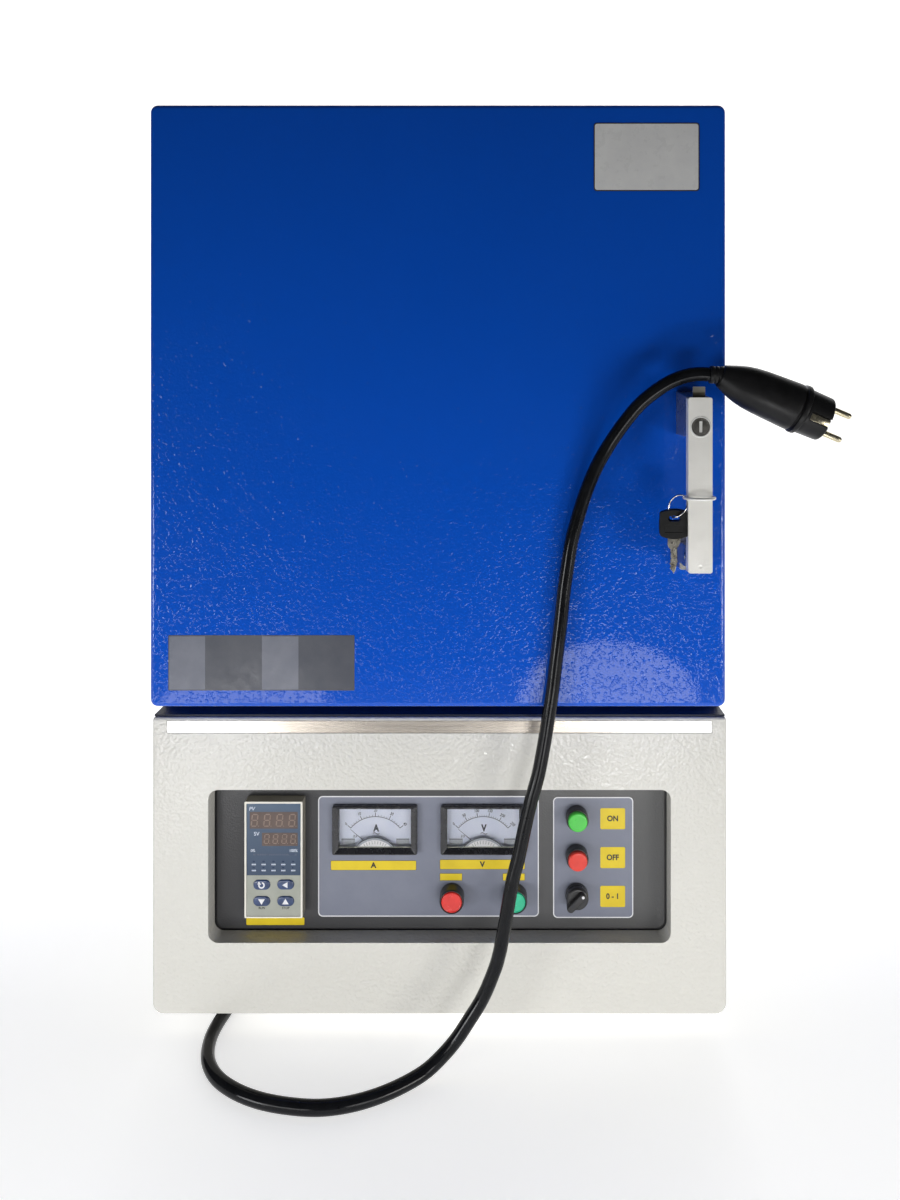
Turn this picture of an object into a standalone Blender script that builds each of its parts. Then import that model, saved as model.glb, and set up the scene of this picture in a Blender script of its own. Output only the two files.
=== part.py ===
"""Bench-top dental lab furnace: blue swing door with a lever handle, grey base
with a recessed control panel, and a mains cord hung over the handle.

Metres, +Z up, -Y is the front. The origin is on the floor, under the middle of
the furnace. Lengths in this file are written in millimetres and turned into
metres by at(); y is counted from the front face of the grey base.
"""

import math

import bmesh
import bpy
from mathutils import Matrix, Vector

MM = 0.001
Y_FRONT = -240.95  # front face of the grey base, from the origin

# ---------------------------------------------------------------- dimensions
BASE_W, BASE_Z0, BASE_Z1 = 470.0, 20.0, 263.0
BODY_BACK = 520.0
WALL = 2.0
GAP = 0.3
DECK_Z1 = 264.7
BODY_Z0, BODY_Z1 = 265.0, 762.0
FRAME_Y0, FRAME_Y1 = 29.7, 32.2
LOUVRE = 5.0

DOOR_X, DOOR_Y0, DOOR_Y1, DOOR_Z0, DOOR_Z1 = 228.0, -25.0, 26.0, 280.0, 757.0
HINGE_X, HINGE_Y, HINGE_R = -234.2, 23.8, 5.6
HINGE_Z = (345.0, 690.0)
HINGE_H = 60.0

CHAMBER_X, CHAMBER_Z0, CHAMBER_Z1, CHAMBER_Y1 = 100.0, 432.0, 592.0, 350.0
PLUG_X, PLUG_Z0, PLUG_Z1, PLUG_Y1 = 92.0, 440.0, 584.0, 66.0

RECESS_X, RECESS_Z0, RECESS_Z1, RECESS_Y = 189.2, 78.8, 203.9, 17.5
PANEL_Y0, PANEL_Y1 = 17.8, 19.8

CTRL = (-161.2, -113.2, 95.6, 191.6)  # bezel: x0, x1, z0, z1
METER_X = (-54.8, 35.6)
METER_W, METER_Z0, METER_Z1, METER_Y = 71.0, 143.5, 184.2, 13.0
NEEDLE_Z, NEEDLE_L = 146.1, 27.5
LAMP_X, LAMP_Z = (9.6, 62.0), 108.2
BUTTON_X, BUTTON_Z = 113.8, (174.2, 141.8, 109.2)

BAR = (188.1, 206.0, 395.2, 525.4)  # x0, x1, z0, z1
BAR_Y0, BAR_Y1 = -70.0, -62.4
PIVOT_Y, PIVOT_Z = -53.5, 405.5
LOCK_X, LOCK_Z = 197.3, 503.7

CORD_R = 5.4
FEET = ((-205.0, 60.0), (205.0, 60.0), (-205.0, 470.0), (205.0, 470.0))
FAN_X, FAN_Z, FAN_R = 110.0, 150.0, 37.0
GLAND_X, GLAND_Z, GLAND_Y1 = -150.0, 118.0, 560.0

# --------------------------------------------------------------- empty scene
for old in list(bpy.data.objects):
    bpy.data.objects.remove(old, do_unlink=True)

PARTS = bpy.data.collections.new("furnace")
CUTTERS = bpy.data.collections.new("furnace_cutters")
bpy.context.scene.collection.children.link(PARTS)
bpy.context.scene.collection.children.link(CUTTERS)


def at(x, y, z):
    return Vector((x, y + Y_FRONT, z)) * MM


# ----------------------------------------------------------------- materials
def material(name, rgb, rough, metal=0.0):
    m = bpy.data.materials.new(name)
    m.use_nodes = True
    shader = m.node_tree.nodes["Principled BSDF"]
    shader.inputs["Base Color"].default_value = (*rgb, 1.0)
    shader.inputs["Roughness"].default_value = rough
    shader.inputs["Metallic"].default_value = metal
    m.diffuse_color = (*rgb, 1.0)
    return m


BLUE = material("blue_powder_coat", (0.0, 0.09, 0.45), 0.3)
GREY = material("grey_powder_coat", (0.68, 0.68, 0.65), 0.5)
BLACK = material("black_plastic", (0.015, 0.015, 0.017), 0.4)
PANEL = material("panel_black", (0.05, 0.05, 0.055), 0.5)
STEEL = material("stainless", (0.7, 0.68, 0.64), 0.3, 1.0)
SATIN = material("satin_alloy", (0.62, 0.61, 0.58), 0.4, 1.0)
CERAMIC = material("ceramic_fibre", (0.86, 0.84, 0.78), 0.95)
RUBBER = material("rubber", (0.02, 0.02, 0.02), 0.7)
BEIGE = material("beige_plastic", (0.55, 0.53, 0.47), 0.5)
NAVY = material("navy_keys", (0.03, 0.07, 0.2), 0.4)
CLEAR = material("clear_lens", (0.8, 0.85, 0.9), 0.05)
RED = material("red_lens", (0.8, 0.03, 0.02), 0.3)
GREEN = material("green_cap", (0.05, 0.7, 0.08), 0.3)
TEAL = material("teal_lens", (0.02, 0.6, 0.35), 0.3)
COPPER = material("copper", (0.6, 0.25, 0.1), 0.4, 1.0)
HEATER = material("heater_alloy", (0.25, 0.23, 0.22), 0.6, 0.8)


# ------------------------------------------------------------------- helpers
def new_object(name, mesh, mat=None, cutter=False):
    o = bpy.data.objects.new(name, mesh)
    (CUTTERS if cutter else PARTS).objects.link(o)
    if cutter:
        o.hide_render = True
        o.display_type = "WIRE"
    if mat:
        mesh.materials.append(mat)
    return o


def box(name, lo, hi, mat=None, bevels=(), cutter=False):
    """A box between two corners. bevels holds (which edges, radius, segments)."""
    lo, hi = at(*lo), at(*hi)
    mid, size = (lo + hi) / 2, hi - lo
    bm = bmesh.new()
    bmesh.ops.create_cube(bm, size=1.0)
    bmesh.ops.scale(bm, vec=size, verts=bm.verts)
    half = size / 2

    def side(v, k):
        return 0 if abs(abs(v.co[k]) - half[k]) > 1e-6 else (1 if v.co[k] > 0 else -1)

    for test, radius, segments in bevels:
        chosen = [
            e
            for e in bm.edges
            if test([[side(v, k) for k in range(3)] for v in e.verts])
        ]
        bmesh.ops.bevel(
            bm,
            geom=chosen,
            offset=radius * MM,
            segments=segments,
            profile=0.5,
            affect="EDGES",
        )
    mesh = bpy.data.meshes.new(name)
    bm.to_mesh(mesh)
    bm.free()
    o = new_object(name, mesh, mat, cutter)
    o.location = mid
    return o


def along(axis):
    """Edges that run along an axis, at the box's corners."""
    others = [k for k in range(3) if k != axis]
    return lambda s: all(v[k] != 0 for v in s for k in others) and all(
        s[0][k] == s[1][k] for k in others
    ) and s[0][axis] != s[1][axis]


def along_low(axis, other, sign):
    """Edges along an axis on one side only."""
    whole = along(axis)
    return lambda s: whole(s) and s[0][other] == sign


def rim(axis, sign):
    """Every edge that lies in one face of the box."""
    return lambda s: all(v[axis] == sign for v in s)


def all_edges(s):
    return True


TURN = {
    "-y": Matrix.Rotation(math.radians(90), 4, "X"),
    "+y": Matrix.Rotation(math.radians(-90), 4, "X"),
    "+x": Matrix.Rotation(math.radians(90), 4, "Y"),
    "+z": Matrix.Identity(4),
}


def cylinder(name, centre, r, length, axis, mat=None, sides=24, r2=None, cutter=False):
    """A cylinder or cone whose middle is at centre; r2 is its far end's radius."""
    bm = bmesh.new()
    bmesh.ops.create_cone(
        bm,
        cap_ends=True,
        segments=sides,
        radius1=r * MM,
        radius2=(r if r2 is None else r2) * MM,
        depth=length * MM,
    )
    mesh = bpy.data.meshes.new(name)
    bm.to_mesh(mesh)
    bm.free()
    o = new_object(name, mesh, mat, cutter)
    o.matrix_world = Matrix.Translation(at(*centre)) @ TURN[axis]
    mesh.shade_smooth()
    mesh.set_sharp_from_angle(angle=math.radians(40))
    return o


def turned(name, profile, matrix, mat=None, steps=24, cutter=False):
    """A solid turned about the local Z axis from (radius, height) points, top to bottom."""
    mesh = bpy.data.meshes.new(name)
    mesh.from_pydata(
        [(r * MM, 0, z * MM) for r, z in profile],
        [(i, i + 1) for i in range(len(profile) - 1)],
        [],
    )
    o = new_object(name, mesh, mat, cutter)
    screw = o.modifiers.new("Screw", "SCREW")
    screw.axis = "Z"
    screw.steps = screw.render_steps = steps
    screw.use_merge_vertices = True
    screw.merge_threshold = 0.00001
    screw.use_smooth_shade = True
    o.matrix_world = matrix
    return o


def stand(centre, axis):
    return Matrix.Translation(at(*centre)) @ TURN[axis]


def cut(o, *tools):
    for t in tools:
        b = o.modifiers.new("Cut", "BOOLEAN")
        b.operation, b.object, b.solver = "DIFFERENCE", t, "EXACT"
    return o


def join(o, *tools):
    for t in tools:
        b = o.modifiers.new("Join", "BOOLEAN")
        b.operation, b.object, b.solver = "UNION", t, "EXACT"
    return o


def cutbox(name, lo, hi, bevels=()):
    return box(name, lo, hi, bevels=bevels, cutter=True)


def cutcyl(name, centre, r, length, axis, sides=24):
    return cylinder(name, centre, r, length, axis, sides=sides, cutter=True)


def smooth_route(points, spacing):
    """Points at an even spacing along a smooth curve through the given ones (centripetal)."""
    pts = [Vector(p) for p in points]
    pts = [2 * pts[0] - pts[1], *pts, 2 * pts[-1] - pts[-2]]
    fine = []
    for i in range(1, len(pts) - 2):
        p0, p1, p2, p3 = pts[i - 1 : i + 3]
        t0 = 0.0
        t1 = t0 + max((p1 - p0).length, 1e-9) ** 0.5
        t2 = t1 + max((p2 - p1).length, 1e-9) ** 0.5
        t3 = t2 + max((p3 - p2).length, 1e-9) ** 0.5
        for k in range(24):
            t = t1 + (t2 - t1) * k / 24
            a1 = p0 * ((t1 - t) / (t1 - t0)) + p1 * ((t - t0) / (t1 - t0))
            a2 = p1 * ((t2 - t) / (t2 - t1)) + p2 * ((t - t1) / (t2 - t1))
            a3 = p2 * ((t3 - t) / (t3 - t2)) + p3 * ((t - t2) / (t3 - t2))
            b1 = a1 * ((t2 - t) / (t2 - t0)) + a2 * ((t - t0) / (t2 - t0))
            b2 = a2 * ((t3 - t) / (t3 - t1)) + a3 * ((t - t1) / (t3 - t1))
            fine.append(b1 * ((t2 - t) / (t2 - t1)) + b2 * ((t - t1) / (t2 - t1)))
    fine.append(pts[-2])
    run = [0.0]
    for a, b in zip(fine, fine[1:]):
        run.append(run[-1] + (b - a).length)
    count = max(2, round(run[-1] / spacing))
    out, j = [], 0
    for i in range(count + 1):
        want = run[-1] * i / count
        while j < len(run) - 2 and run[j + 1] < want:
            j += 1
        f = (want - run[j]) / max(run[j + 1] - run[j], 1e-9)
        out.append(fine[j].lerp(fine[j + 1], min(max(f, 0.0), 1.0)))
    return out


def tube(name, points, radius, mat, resolution=2, mesh=False):
    """A round tube along points in metres."""
    curve = bpy.data.curves.new(name, "CURVE")
    curve.dimensions = "3D"
    curve.bevel_depth = radius * MM
    curve.bevel_resolution = resolution
    curve.use_fill_caps = True
    spline = curve.splines.new("POLY")
    spline.points.add(len(points) - 1)
    for p, v in zip(spline.points, points):
        p.co = (*v, 1.0)
    o = bpy.data.objects.new(name, curve)
    PARTS.objects.link(o)
    curve.materials.append(mat)
    if not mesh:
        return o
    bpy.context.view_layer.update()
    made = bpy.data.meshes.new_from_object(
        o.evaluated_get(bpy.context.evaluated_depsgraph_get())
    )
    bm = bmesh.new()
    bm.from_mesh(made)
    bmesh.ops.remove_doubles(bm, verts=bm.verts, dist=0.000001)
    bm.to_mesh(made)
    bm.free()
    world = o.matrix_world.copy()
    bpy.data.objects.remove(o, do_unlink=True)
    solid = new_object(name, made)
    solid.matrix_world = world
    return solid


# ==================================================================== base
half = BASE_W / 2
front = box(
    "base_front_panel",
    (-half, 0, BASE_Z0),
    (half, 22, BASE_Z1),
    GREY,
    bevels=(
        (along_low(1, 2, -1), 9, 4),
        (along_low(1, 2, 1), 2.4, 2),
        (rim(1, -1), 2.3, 3),
    ),
)
cut(front, cutbox("cut_front_hollow", (-half + 2.5, 3, BASE_Z0 + 2.5), (half - 2.5, 40, BASE_Z1 - 2.5)))
join(
    front,
    box(
        "add_recess_walls",
        (-RECESS_X - 2, 1.5, RECESS_Z0 - 2),
        (RECESS_X + 2, RECESS_Y, RECESS_Z1 + 2),
        bevels=((along(1), 10, 3),),
        cutter=True,
    ),
)
cut(
    front,
    cutbox(
        "cut_recess",
        (-RECESS_X, -8, RECESS_Z0),
        (RECESS_X, 40, RECESS_Z1),
        bevels=((along(1), 8, 4),),
    ),
    cutbox("cut_strip_slot", (-223.1, -3, 250.2), (223.1, 1.2, 260.6)),
)

box("front_trim_strip", (-222.8, 0.1, 250.5), (222.8, 0.9, 260.3), STEEL)

housing = box(
    "base_housing",
    (-half, 22.3, BASE_Z0),
    (half, BODY_BACK, BASE_Z1),
    GREY,
    bevels=((along_low(1, 2, -1), 9, 4), (along_low(1, 2, 1), 2.4, 2)),
)
cut(
    housing,
    cutbox("cut_housing_hollow", (-half + WALL, 0, BASE_Z0 + WALL), (half - WALL, BODY_BACK - WALL, BASE_Z1 - WALL)),
    cutcyl("cut_fan_hole", (FAN_X, BODY_BACK, FAN_Z), FAN_R, 20, "+y", 20),
    cutcyl("cut_gland_hole", (GLAND_X, BODY_BACK, GLAND_Z), 9.0, 20, "+y", 16),
)
cut(
    housing,
    *[
        cutbox(f"cut_vent_{s}_{i}", (s * half - 10, 150 + i * 60, 60), (s * half + 10, 154 + i * 60, 120))
        for s in (-1, 1)
        for i in range(5)
    ],
)

deck = box("deck_plate", (-half + 1.0, 2.6, BASE_Z1 + GAP), (half - 1.0, BODY_BACK - 1.0, DECK_Z1), PANEL)
cut(deck, cutbox("cut_deck_cables", (-60, 475, 255), (60, 505, 275)))

for i, (x, y) in enumerate(FEET):
    turned(
        f"foot_{('front_left', 'front_right', 'rear_left', 'rear_right')[i]}",
        [(0, 19.7), (16, 19.7), (16, 17), (13.5, 1.0), (12.5, 0), (0, 0)],
        Matrix.Translation(at(x, y, 0)),
        RUBBER,
        steps=16,
    )

# -------------------------------------------------------------- control panel
panel = box("control_panel", (-193, PANEL_Y0, 74), (193, PANEL_Y1, 208), PANEL)
cut(
    panel,
    cutbox("cut_ctrl", (CTRL[0] + 1.5, 0, CTRL[2] + 2), (CTRL[1] - 1.5, 40, CTRL[3] - 2)),
    *[
        cutbox(f"cut_meter_{i}", (x - 31.5, 0, METER_Z0 + 0.2), (x + 31.5, 40, METER_Z1 - 0.7))
        for i, x in enumerate(METER_X)
    ],
    *[cutcyl(f"cut_lamp_{i}", (x, PANEL_Y0, LAMP_Z), 7.8, 20, "+y", 16) for i, x in enumerate(LAMP_X)],
    *[cutcyl(f"cut_button_{i}", (BUTTON_X, PANEL_Y0, z), 7.8, 20, "+y", 16) for i, z in enumerate(BUTTON_Z)],
)

# temperature controller: 48 x 96 bezel, body behind the panel, four keys
ctrl = box(
    "controller_case",
    (CTRL[0], 6, CTRL[2]),
    (CTRL[1], 17.5, CTRL[3]),
    BEIGE,
    bevels=((rim(1, -1), 0.8, 2),),
)
join(ctrl, box("add_ctrl_body", (CTRL[0] + 1.8, 12, CTRL[2] + 2.3), (CTRL[1] - 1.8, 105, CTRL[3] - 2.3), cutter=True))
KEYS = {
    "loop": (-146.9, 123.0),
    "shift": (-127.2, 123.2),
    "down": (-146.9, 109.5),
    "up": (-127.2, 109.5),
}
for name, (x, z) in KEYS.items():
    cut(
        ctrl,
        cutbox(f"cut_key_{name}", (x - 7.3, 0, z - 4.4), (x + 7.3, 9.5, z + 4.4), bevels=((along(1), 4.2, 4),)),
    )
    box(
        f"key_{name}",
        (x - 7.0, 5.2, z - 4.1),
        (x + 7.0, 8.0, z + 4.1),
        NAVY,
        bevels=((along(1), 3.9, 4), (rim(1, -1), 0.6, 1)),
    )

# panel meters: case with a deep window, lens, and needle on a hub
for name, x in zip(("ammeter", "voltmeter"), METER_X):
    case = box(
        f"{name}_case",
        (x - METER_W / 2, METER_Y, METER_Z0),
        (x + METER_W / 2, 17.5, METER_Z1),
        BLACK,
        bevels=((rim(1, -1), 0.9, 2),),
    )
    join(case, box(f"add_{name}_body", (x - 31.2, 14.5, METER_Z0 + 0.5), (x + 31.2, 52, METER_Z1 - 1.0), cutter=True))
    cut(
        case,
        cutbox(f"cut_{name}_window", (x - 30, 0, 148.9), (x + 30, 16, 181.2)),
        cutbox(f"cut_{name}_dial", (x - 30, 15.4, METER_Z0 + 1.3), (x + 30, 19.5, 181.2)),
    )
    box(f"{name}_lens", (x - 29.7, 14.1, 149.2), (x + 29.7, 15.2, 180.9), CLEAR)
    needle = turned(
        f"{name}_needle",
        [(0, 1.3), (1.15, 1.3), (1.15, -1.2), (0, -1.2)],
        stand((x, 17.2, NEEDLE_Z), "-y"),
        BLACK,
        steps=12,
    )
    blade = box(f"add_{name}_blade", (x - 0.5, 16.5, NEEDLE_Z), (x + 0.5, 17.3, NEEDLE_Z + NEEDLE_L), cutter=True)
    pivot = at(x, 16.9, NEEDLE_Z)
    blade.matrix_world = (
        Matrix.Translation(pivot)
        @ Matrix.Rotation(math.radians(-50), 4, "Y")
        @ Matrix.Translation(-pivot)
        @ Matrix.Translation(blade.location)
    )
    join(needle, blade)

# pilot lamps
for name, x, mat in (("fault_lamp", LAMP_X[0], RED), ("run_lamp", LAMP_X[1], TEAL)):
    body = turned(
        f"{name}_body",
        [(0, 6.0), (7.4, 6.0), (7.4, 5.8), (8.9, 5.8), (8.9, 0), (7.4, 0), (7.4, -22), (0, -22)],
        stand((x, 17.5, LAMP_Z), "-y"),
        BLACK,
    )
    turned(
        f"{name}_lens",
        [(0, 10.4), (7.2, 10.2), (8.4, 9.4), (8.7, 8.4), (8.7, 6.3), (0, 6.3)],
        stand((x, 17.5, LAMP_Z), "-y"),
        mat,
    )

# push buttons: a collar with a bore, and a cap that slides in it
for name, z, mat in (("on_button", BUTTON_Z[0], GREEN), ("off_button", BUTTON_Z[1], RED)):
    body = turned(
        f"{name}_body",
        [(0, 8.6), (8.6, 8.6), (9.2, 8.0), (9.2, 0), (7.4, 0), (7.4, -30), (0, -30)],
        stand((BUTTON_X, 17.5, z), "-y"),
        BLACK,
    )
    cut(body, cutcyl(f"cut_{name}_bore", (BUTTON_X, 7.0, z), 8.4, 16, "+y", 24))
    turned(
        f"{name}_cap",
        [(0, 12.3), (7.2, 12.3), (8.0, 11.7), (8.0, 6.0), (0, 6.0)],
        stand((BUTTON_X, 17.5, z), "-y"),
        mat,
    )

# rotary selector
sel_z = BUTTON_Z[2]
turned(
    "selector_body",
    [(0, 4.0), (9.2, 4.0), (9.2, 0), (7.4, 0), (7.4, -30), (0, -30)],
    stand((BUTTON_X, 17.5, sel_z), "-y"),
    BLACK,
)
knob = turned(
    "selector_knob",
    [(0, 9.6), (8.4, 9.6), (9.2, 9.0), (9.2, 4.3), (0, 4.3)],
    stand((BUTTON_X, 17.5, sel_z), "-y"),
    BLACK,
)
grip = box("add_selector_grip", (BUTTON_X - 11.4, 4.0, sel_z - 3.2), (BUTTON_X + 8.2, 10.0, sel_z + 3.2),
           bevels=((along(1), 2.4, 2),), cutter=True)
centre = at(BUTTON_X, 7.0, sel_z)
grip.matrix_world = (
    Matrix.Translation(centre)
    @ Matrix.Rotation(math.radians(-45), 4, "Y")
    @ Matrix.Translation(-centre)
    @ Matrix.Translation(grip.location)
)
join(knob, grip)

# ------------------------------------------------------------ inside the base
core = box("transformer", (-70, 250, 40), (40, 340, 122), HEATER)
join(
    core,
    box("add_coil", (-45, 232, 52), (15, 358, 110), bevels=((along(2), 8, 2),), cutter=True),
    box("add_transformer_feet", (-70, 245, 22.3), (40, 345, 26), cutter=True),
    box("add_transformer_leg_a", (-66, 262, 24), (-52, 328, 44), cutter=True),
    box("add_transformer_leg_b", (22, 262, 24), (36, 328, 44), cutter=True),
)
sink = box("power_module", (90, 200, 22.3), (200, 330, 28), SATIN)
join(
    sink,
    *[box(f"add_fin_{i}", (94 + i * 16.6, 200, 26), (97 + i * 16.6, 330, 66), cutter=True) for i in range(7)],
    box("add_module", (112, 225, 60), (178, 300, 92), cutter=True),
)

fan = box("fan_frame", (FAN_X - 40, 492.5, FAN_Z - 40), (FAN_X + 40, 517.6, FAN_Z + 40), BLACK, bevels=((along(1), 4, 2),))
cut(fan, cutcyl("cut_fan_duct", (FAN_X, 505, FAN_Z), 38, 60, "+y", 28))
join(
    fan,
    box("add_fan_strut_a", (FAN_X - 39, 493, FAN_Z - 2), (FAN_X + 39, 496, FAN_Z + 2), cutter=True),
    box("add_fan_strut_b", (FAN_X - 2, 493, FAN_Z - 39), (FAN_X + 2, 496, FAN_Z + 39), cutter=True),
    cylinder("add_fan_mount", (FAN_X, 494.6, FAN_Z), 15, 4, "+y", sides=20, cutter=True),
)
rotor = cylinder("fan_rotor", (FAN_X, 507.0, FAN_Z), 15, 18, "+y", BLACK, sides=20)
for i in range(7):
    blade = box(f"add_blade_{i}", (FAN_X - 6.5, 506.4, FAN_Z + 12), (FAN_X + 6.5, 507.6, FAN_Z + 35.5), cutter=True)
    mid = at(FAN_X, 507.0, FAN_Z)
    blade.matrix_world = (
        Matrix.Translation(mid)
        @ Matrix.Rotation(math.radians(360 / 7 * i), 4, "Y")
        @ Matrix.Rotation(math.radians(38), 4, "Z")
        @ Matrix.Translation(-mid)
        @ Matrix.Translation(blade.location)
    )
    join(rotor, blade)

# ============================================================== upper section
shell = box(
    "upper_shell",
    (-half, 32.5, BODY_Z0),
    (half, BODY_BACK, BODY_Z1),
    BLUE,
    bevels=((along_low(1, 2, 1), 6, 3),),
)
cut(shell, cutbox("cut_shell_hollow", (-half + WALL, 0, BODY_Z0 - 20), (half - WALL, BODY_BACK - WALL, BODY_Z1 - WALL)))


def louvre(name, side, y, z):
    """A pressed louvre: a wedge on the side wall, with its mouth cut below."""
    mesh = bpy.data.meshes.new(name)
    x0, x1 = side * (half - 0.5), side * (half + LOUVRE)
    bm = bmesh.new()
    low = [bm.verts.new(at(x0, y, z)), bm.verts.new(at(x1, y, z)), bm.verts.new(at(x0, y, z + 14))]
    face = bm.faces.new(low)
    got = bmesh.ops.extrude_face_region(bm, geom=[face])
    bmesh.ops.translate(bm, vec=Vector((0, 60 * MM, 0)), verts=[v for v in got["geom"] if isinstance(v, bmesh.types.BMVert)])
    bmesh.ops.recalc_face_normals(bm, faces=bm.faces)
    bm.to_mesh(mesh)
    bm.free()
    return new_object(name, mesh, cutter=True)


for s in (-1, 1):
    for col in range(2):
        for row in range(4):
            join(shell, louvre(f"add_louvre_{s}_{col}_{row}", s, 300 + col * 90, 560 + row * 30))
cut(
    shell,
    cutcyl("cut_flue", (0, 260, BODY_Z1), 11.5, 30, "+z", 20),
    *[cutbox(f"cut_back_vent_{i}", (-100 + i * 36, 500, 300), (-94 + i * 36, 540, 350)) for i in range(6)],
)

frame_plate = box("front_frame", (-half, FRAME_Y0, BODY_Z0), (half, FRAME_Y1, BODY_Z1), BLUE, bevels=((along_low(1, 2, 1), 6, 3),))
cut(
    frame_plate,
    cutbox("cut_mouth", (-CHAMBER_X - 1, 0, CHAMBER_Z0 - 1), (CHAMBER_X + 1, 60, CHAMBER_Z1 + 1)),
    cutbox("cut_keeper", (192, 0, 437), (202.6, 60, 484)),
)

ins = box("insulation_chamber", (-224, 34, 268), (224, 470, 752), CERAMIC)
cut(ins, cutbox("cut_chamber", (-CHAMBER_X, 0, CHAMBER_Z0), (CHAMBER_X, CHAMBER_Y1, CHAMBER_Z1)))

box("hearth_plate", (-86, 80, CHAMBER_Z0 + GAP), (86, 340, CHAMBER_Z0 + 11), CERAMIC, bevels=((all_edges, 1.5, 1),))

# heating elements: one rod each side, bent back and forth, both ends through the rear wall
for side, name in ((-1, "heating_element_left"), (1, "heating_element_right")):
    x = side * 94.5
    route = []
    zs = [456 + 20 * i for i in range(6)]
    for i, z in enumerate(zs):
        ya, yb = (455, 92) if i == 0 else ((92, 318) if i % 2 else (318, 92))
        if i == len(zs) - 1:
            ya, yb = 92, 455
        route.append((x, ya, z))
        route.append((x, (ya + yb) / 2, z))
        route.append((x, yb, z))
        if i < len(zs) - 1:
            out = -8 if yb < 200 else 8
            route.append((x, yb + out, z + 4.5))
            route.append((x, yb + out * 1.3, z + 10))
            route.append((x, yb + out, z + 15.5))
    tube(name, [at(*p) for p in route], 3.2, HEATER)
    for z in (zs[0], zs[-1]):
        cut(ins, cutcyl(f"cut_terminal_{side}_{z}", (x, 410, z), 4.2, 160, "+y", 10))

tc = cylinder("thermocouple", (0, 402, 572), 4.0, 180, "+y", CERAMIC, sides=12)
join(tc, box("add_tc_head", (-16, 474, 556), (16, 508, 588), bevels=((all_edges, 2, 1),), cutter=True))
cut(ins, cutcyl("cut_tc", (0, 410, 572), 4.8, 160, "+y", 12))
cut(ins, cutcyl("cut_vent", (0, 260, 680), 8.5, 200, "+z", 12))

# ======================================================================= door
skin = box(
    "door_skin",
    (-DOOR_X, DOOR_Y0, DOOR_Z0),
    (DOOR_X, DOOR_Y1, DOOR_Z1),
    BLUE,
    bevels=((along(1), 6, 4), (rim(1, -1), 4.2, 4)),
)
cut(
    skin,
    cutbox("cut_door_hollow", (-DOOR_X + 2, DOOR_Y0 + 2, DOOR_Z0 + 2), (DOOR_X - 2, 60, DOOR_Z1 - 2),
           bevels=((along(1), 4, 3),)),
)
liner = box("door_liner", (-DOOR_X + 2.4, 24.0, DOOR_Z0 + 2.4), (DOOR_X - 2.4, 25.7, DOOR_Z1 - 2.4), SATIN,
            bevels=((along(1), 4, 3),))
cut(
    liner,
    cutbox("cut_liner_plug", (-PLUG_X - 4, 0, PLUG_Z0 - 4), (PLUG_X + 4, 60, PLUG_Z1 + 4)),
    cutbox("cut_liner_tongue", (193, 0, 438), (201.6, 60, 483)),
)
plug = box("door_insulation", (-220, -22.5, 285), (180, 23.6, 750), CERAMIC)
taper = box("add_plug", (-PLUG_X - 3, 20, PLUG_Z0 - 3), (PLUG_X + 3, PLUG_Y1, PLUG_Z1 + 3), cutter=True)
for v in taper.data.vertices:  # the inner end is smaller, so the door can swing in
    if v.co.y > 0:
        v.co.x *= (PLUG_X - 2) / (PLUG_X + 3)
        v.co.z *= (PLUG_Z1 - PLUG_Z0 - 4) / (PLUG_Z1 - PLUG_Z0 + 6)
join(plug, taper)

# hinges: the fixed half carries the pin; the moving half turns on it
for name, zc in zip(("lower", "upper"), HINGE_Z):
    z0, z1 = zc - HINGE_H / 2, zc + HINGE_H / 2
    third = HINGE_H / 3
    fixed = box(f"hinge_{name}_fixed", (-236.9, 33, z0), (-235.3, 62, z1), STEEL)
    for part, (a, b) in (("bottom", (z0, z0 + third - 0.4)), ("top", (z1 - third + 0.4, z1))):
        join(
            fixed,
            box(f"add_{name}_{part}_tab", (-236.9, 24, a), (-235.3, 34, b), cutter=True),
            cylinder(f"add_{name}_{part}_knuckle", (HINGE_X, HINGE_Y, (a + b) / 2), HINGE_R, b - a, "+z", sides=16, cutter=True),
        )
    join(fixed, cylinder(f"add_{name}_pin", (HINGE_X, HINGE_Y, zc), 2.4, HINGE_H - 2, "+z", sides=12, cutter=True))
    moving = cylinder(f"hinge_{name}_moving", (HINGE_X, HINGE_Y, zc), HINGE_R, third - 0.0, "+z", STEEL, sides=16)
    join(moving, box(f"add_{name}_leaf", (-232, 26.5, z0 + third), (-202, 28.2, z1 - third), cutter=True))
    cut(moving, cutcyl(f"cut_{name}_bore", (HINGE_X, HINGE_Y, zc), 2.75, 60, "+z", 12))

# ================================================================ lever handle
post = box("latch_upper_post", (188.3, -61.9, 496.0), (205.8, -25.3, 530.0), SATIN, bevels=((along(1), 1.0, 1),))
join(post, box("add_tab", (193.3, -61.9, 520), (202.4, -59.4, 533.5), cutter=True))
cut(post, cutcyl("cut_lock_tail", (LOCK_X, -60, LOCK_Z), 6.0, 30, "+y", 16))

lower = box("latch_lower_post", (188.5, -53.5, 397.5), (205.8, -25.3, 413.5), SATIN)
join(
    lower,
    box("add_post_root", (188.5, -38, 391.6), (205.8, -25.3, 417.5), cutter=True),
    cylinder("add_cheeks", (197.15, PIVOT_Y, PIVOT_Z), 8.0, 17.3, "+x", sides=20, cutter=True),
)
cut(lower, cutbox("cut_fork", (193.3, -70, 380), (201.0, -41.5, 430)))
join(lower, cylinder("add_pivot_pin", (197.15, PIVOT_Y, PIVOT_Z), 2.0, 14.0, "+x", sides=12, cutter=True))

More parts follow.
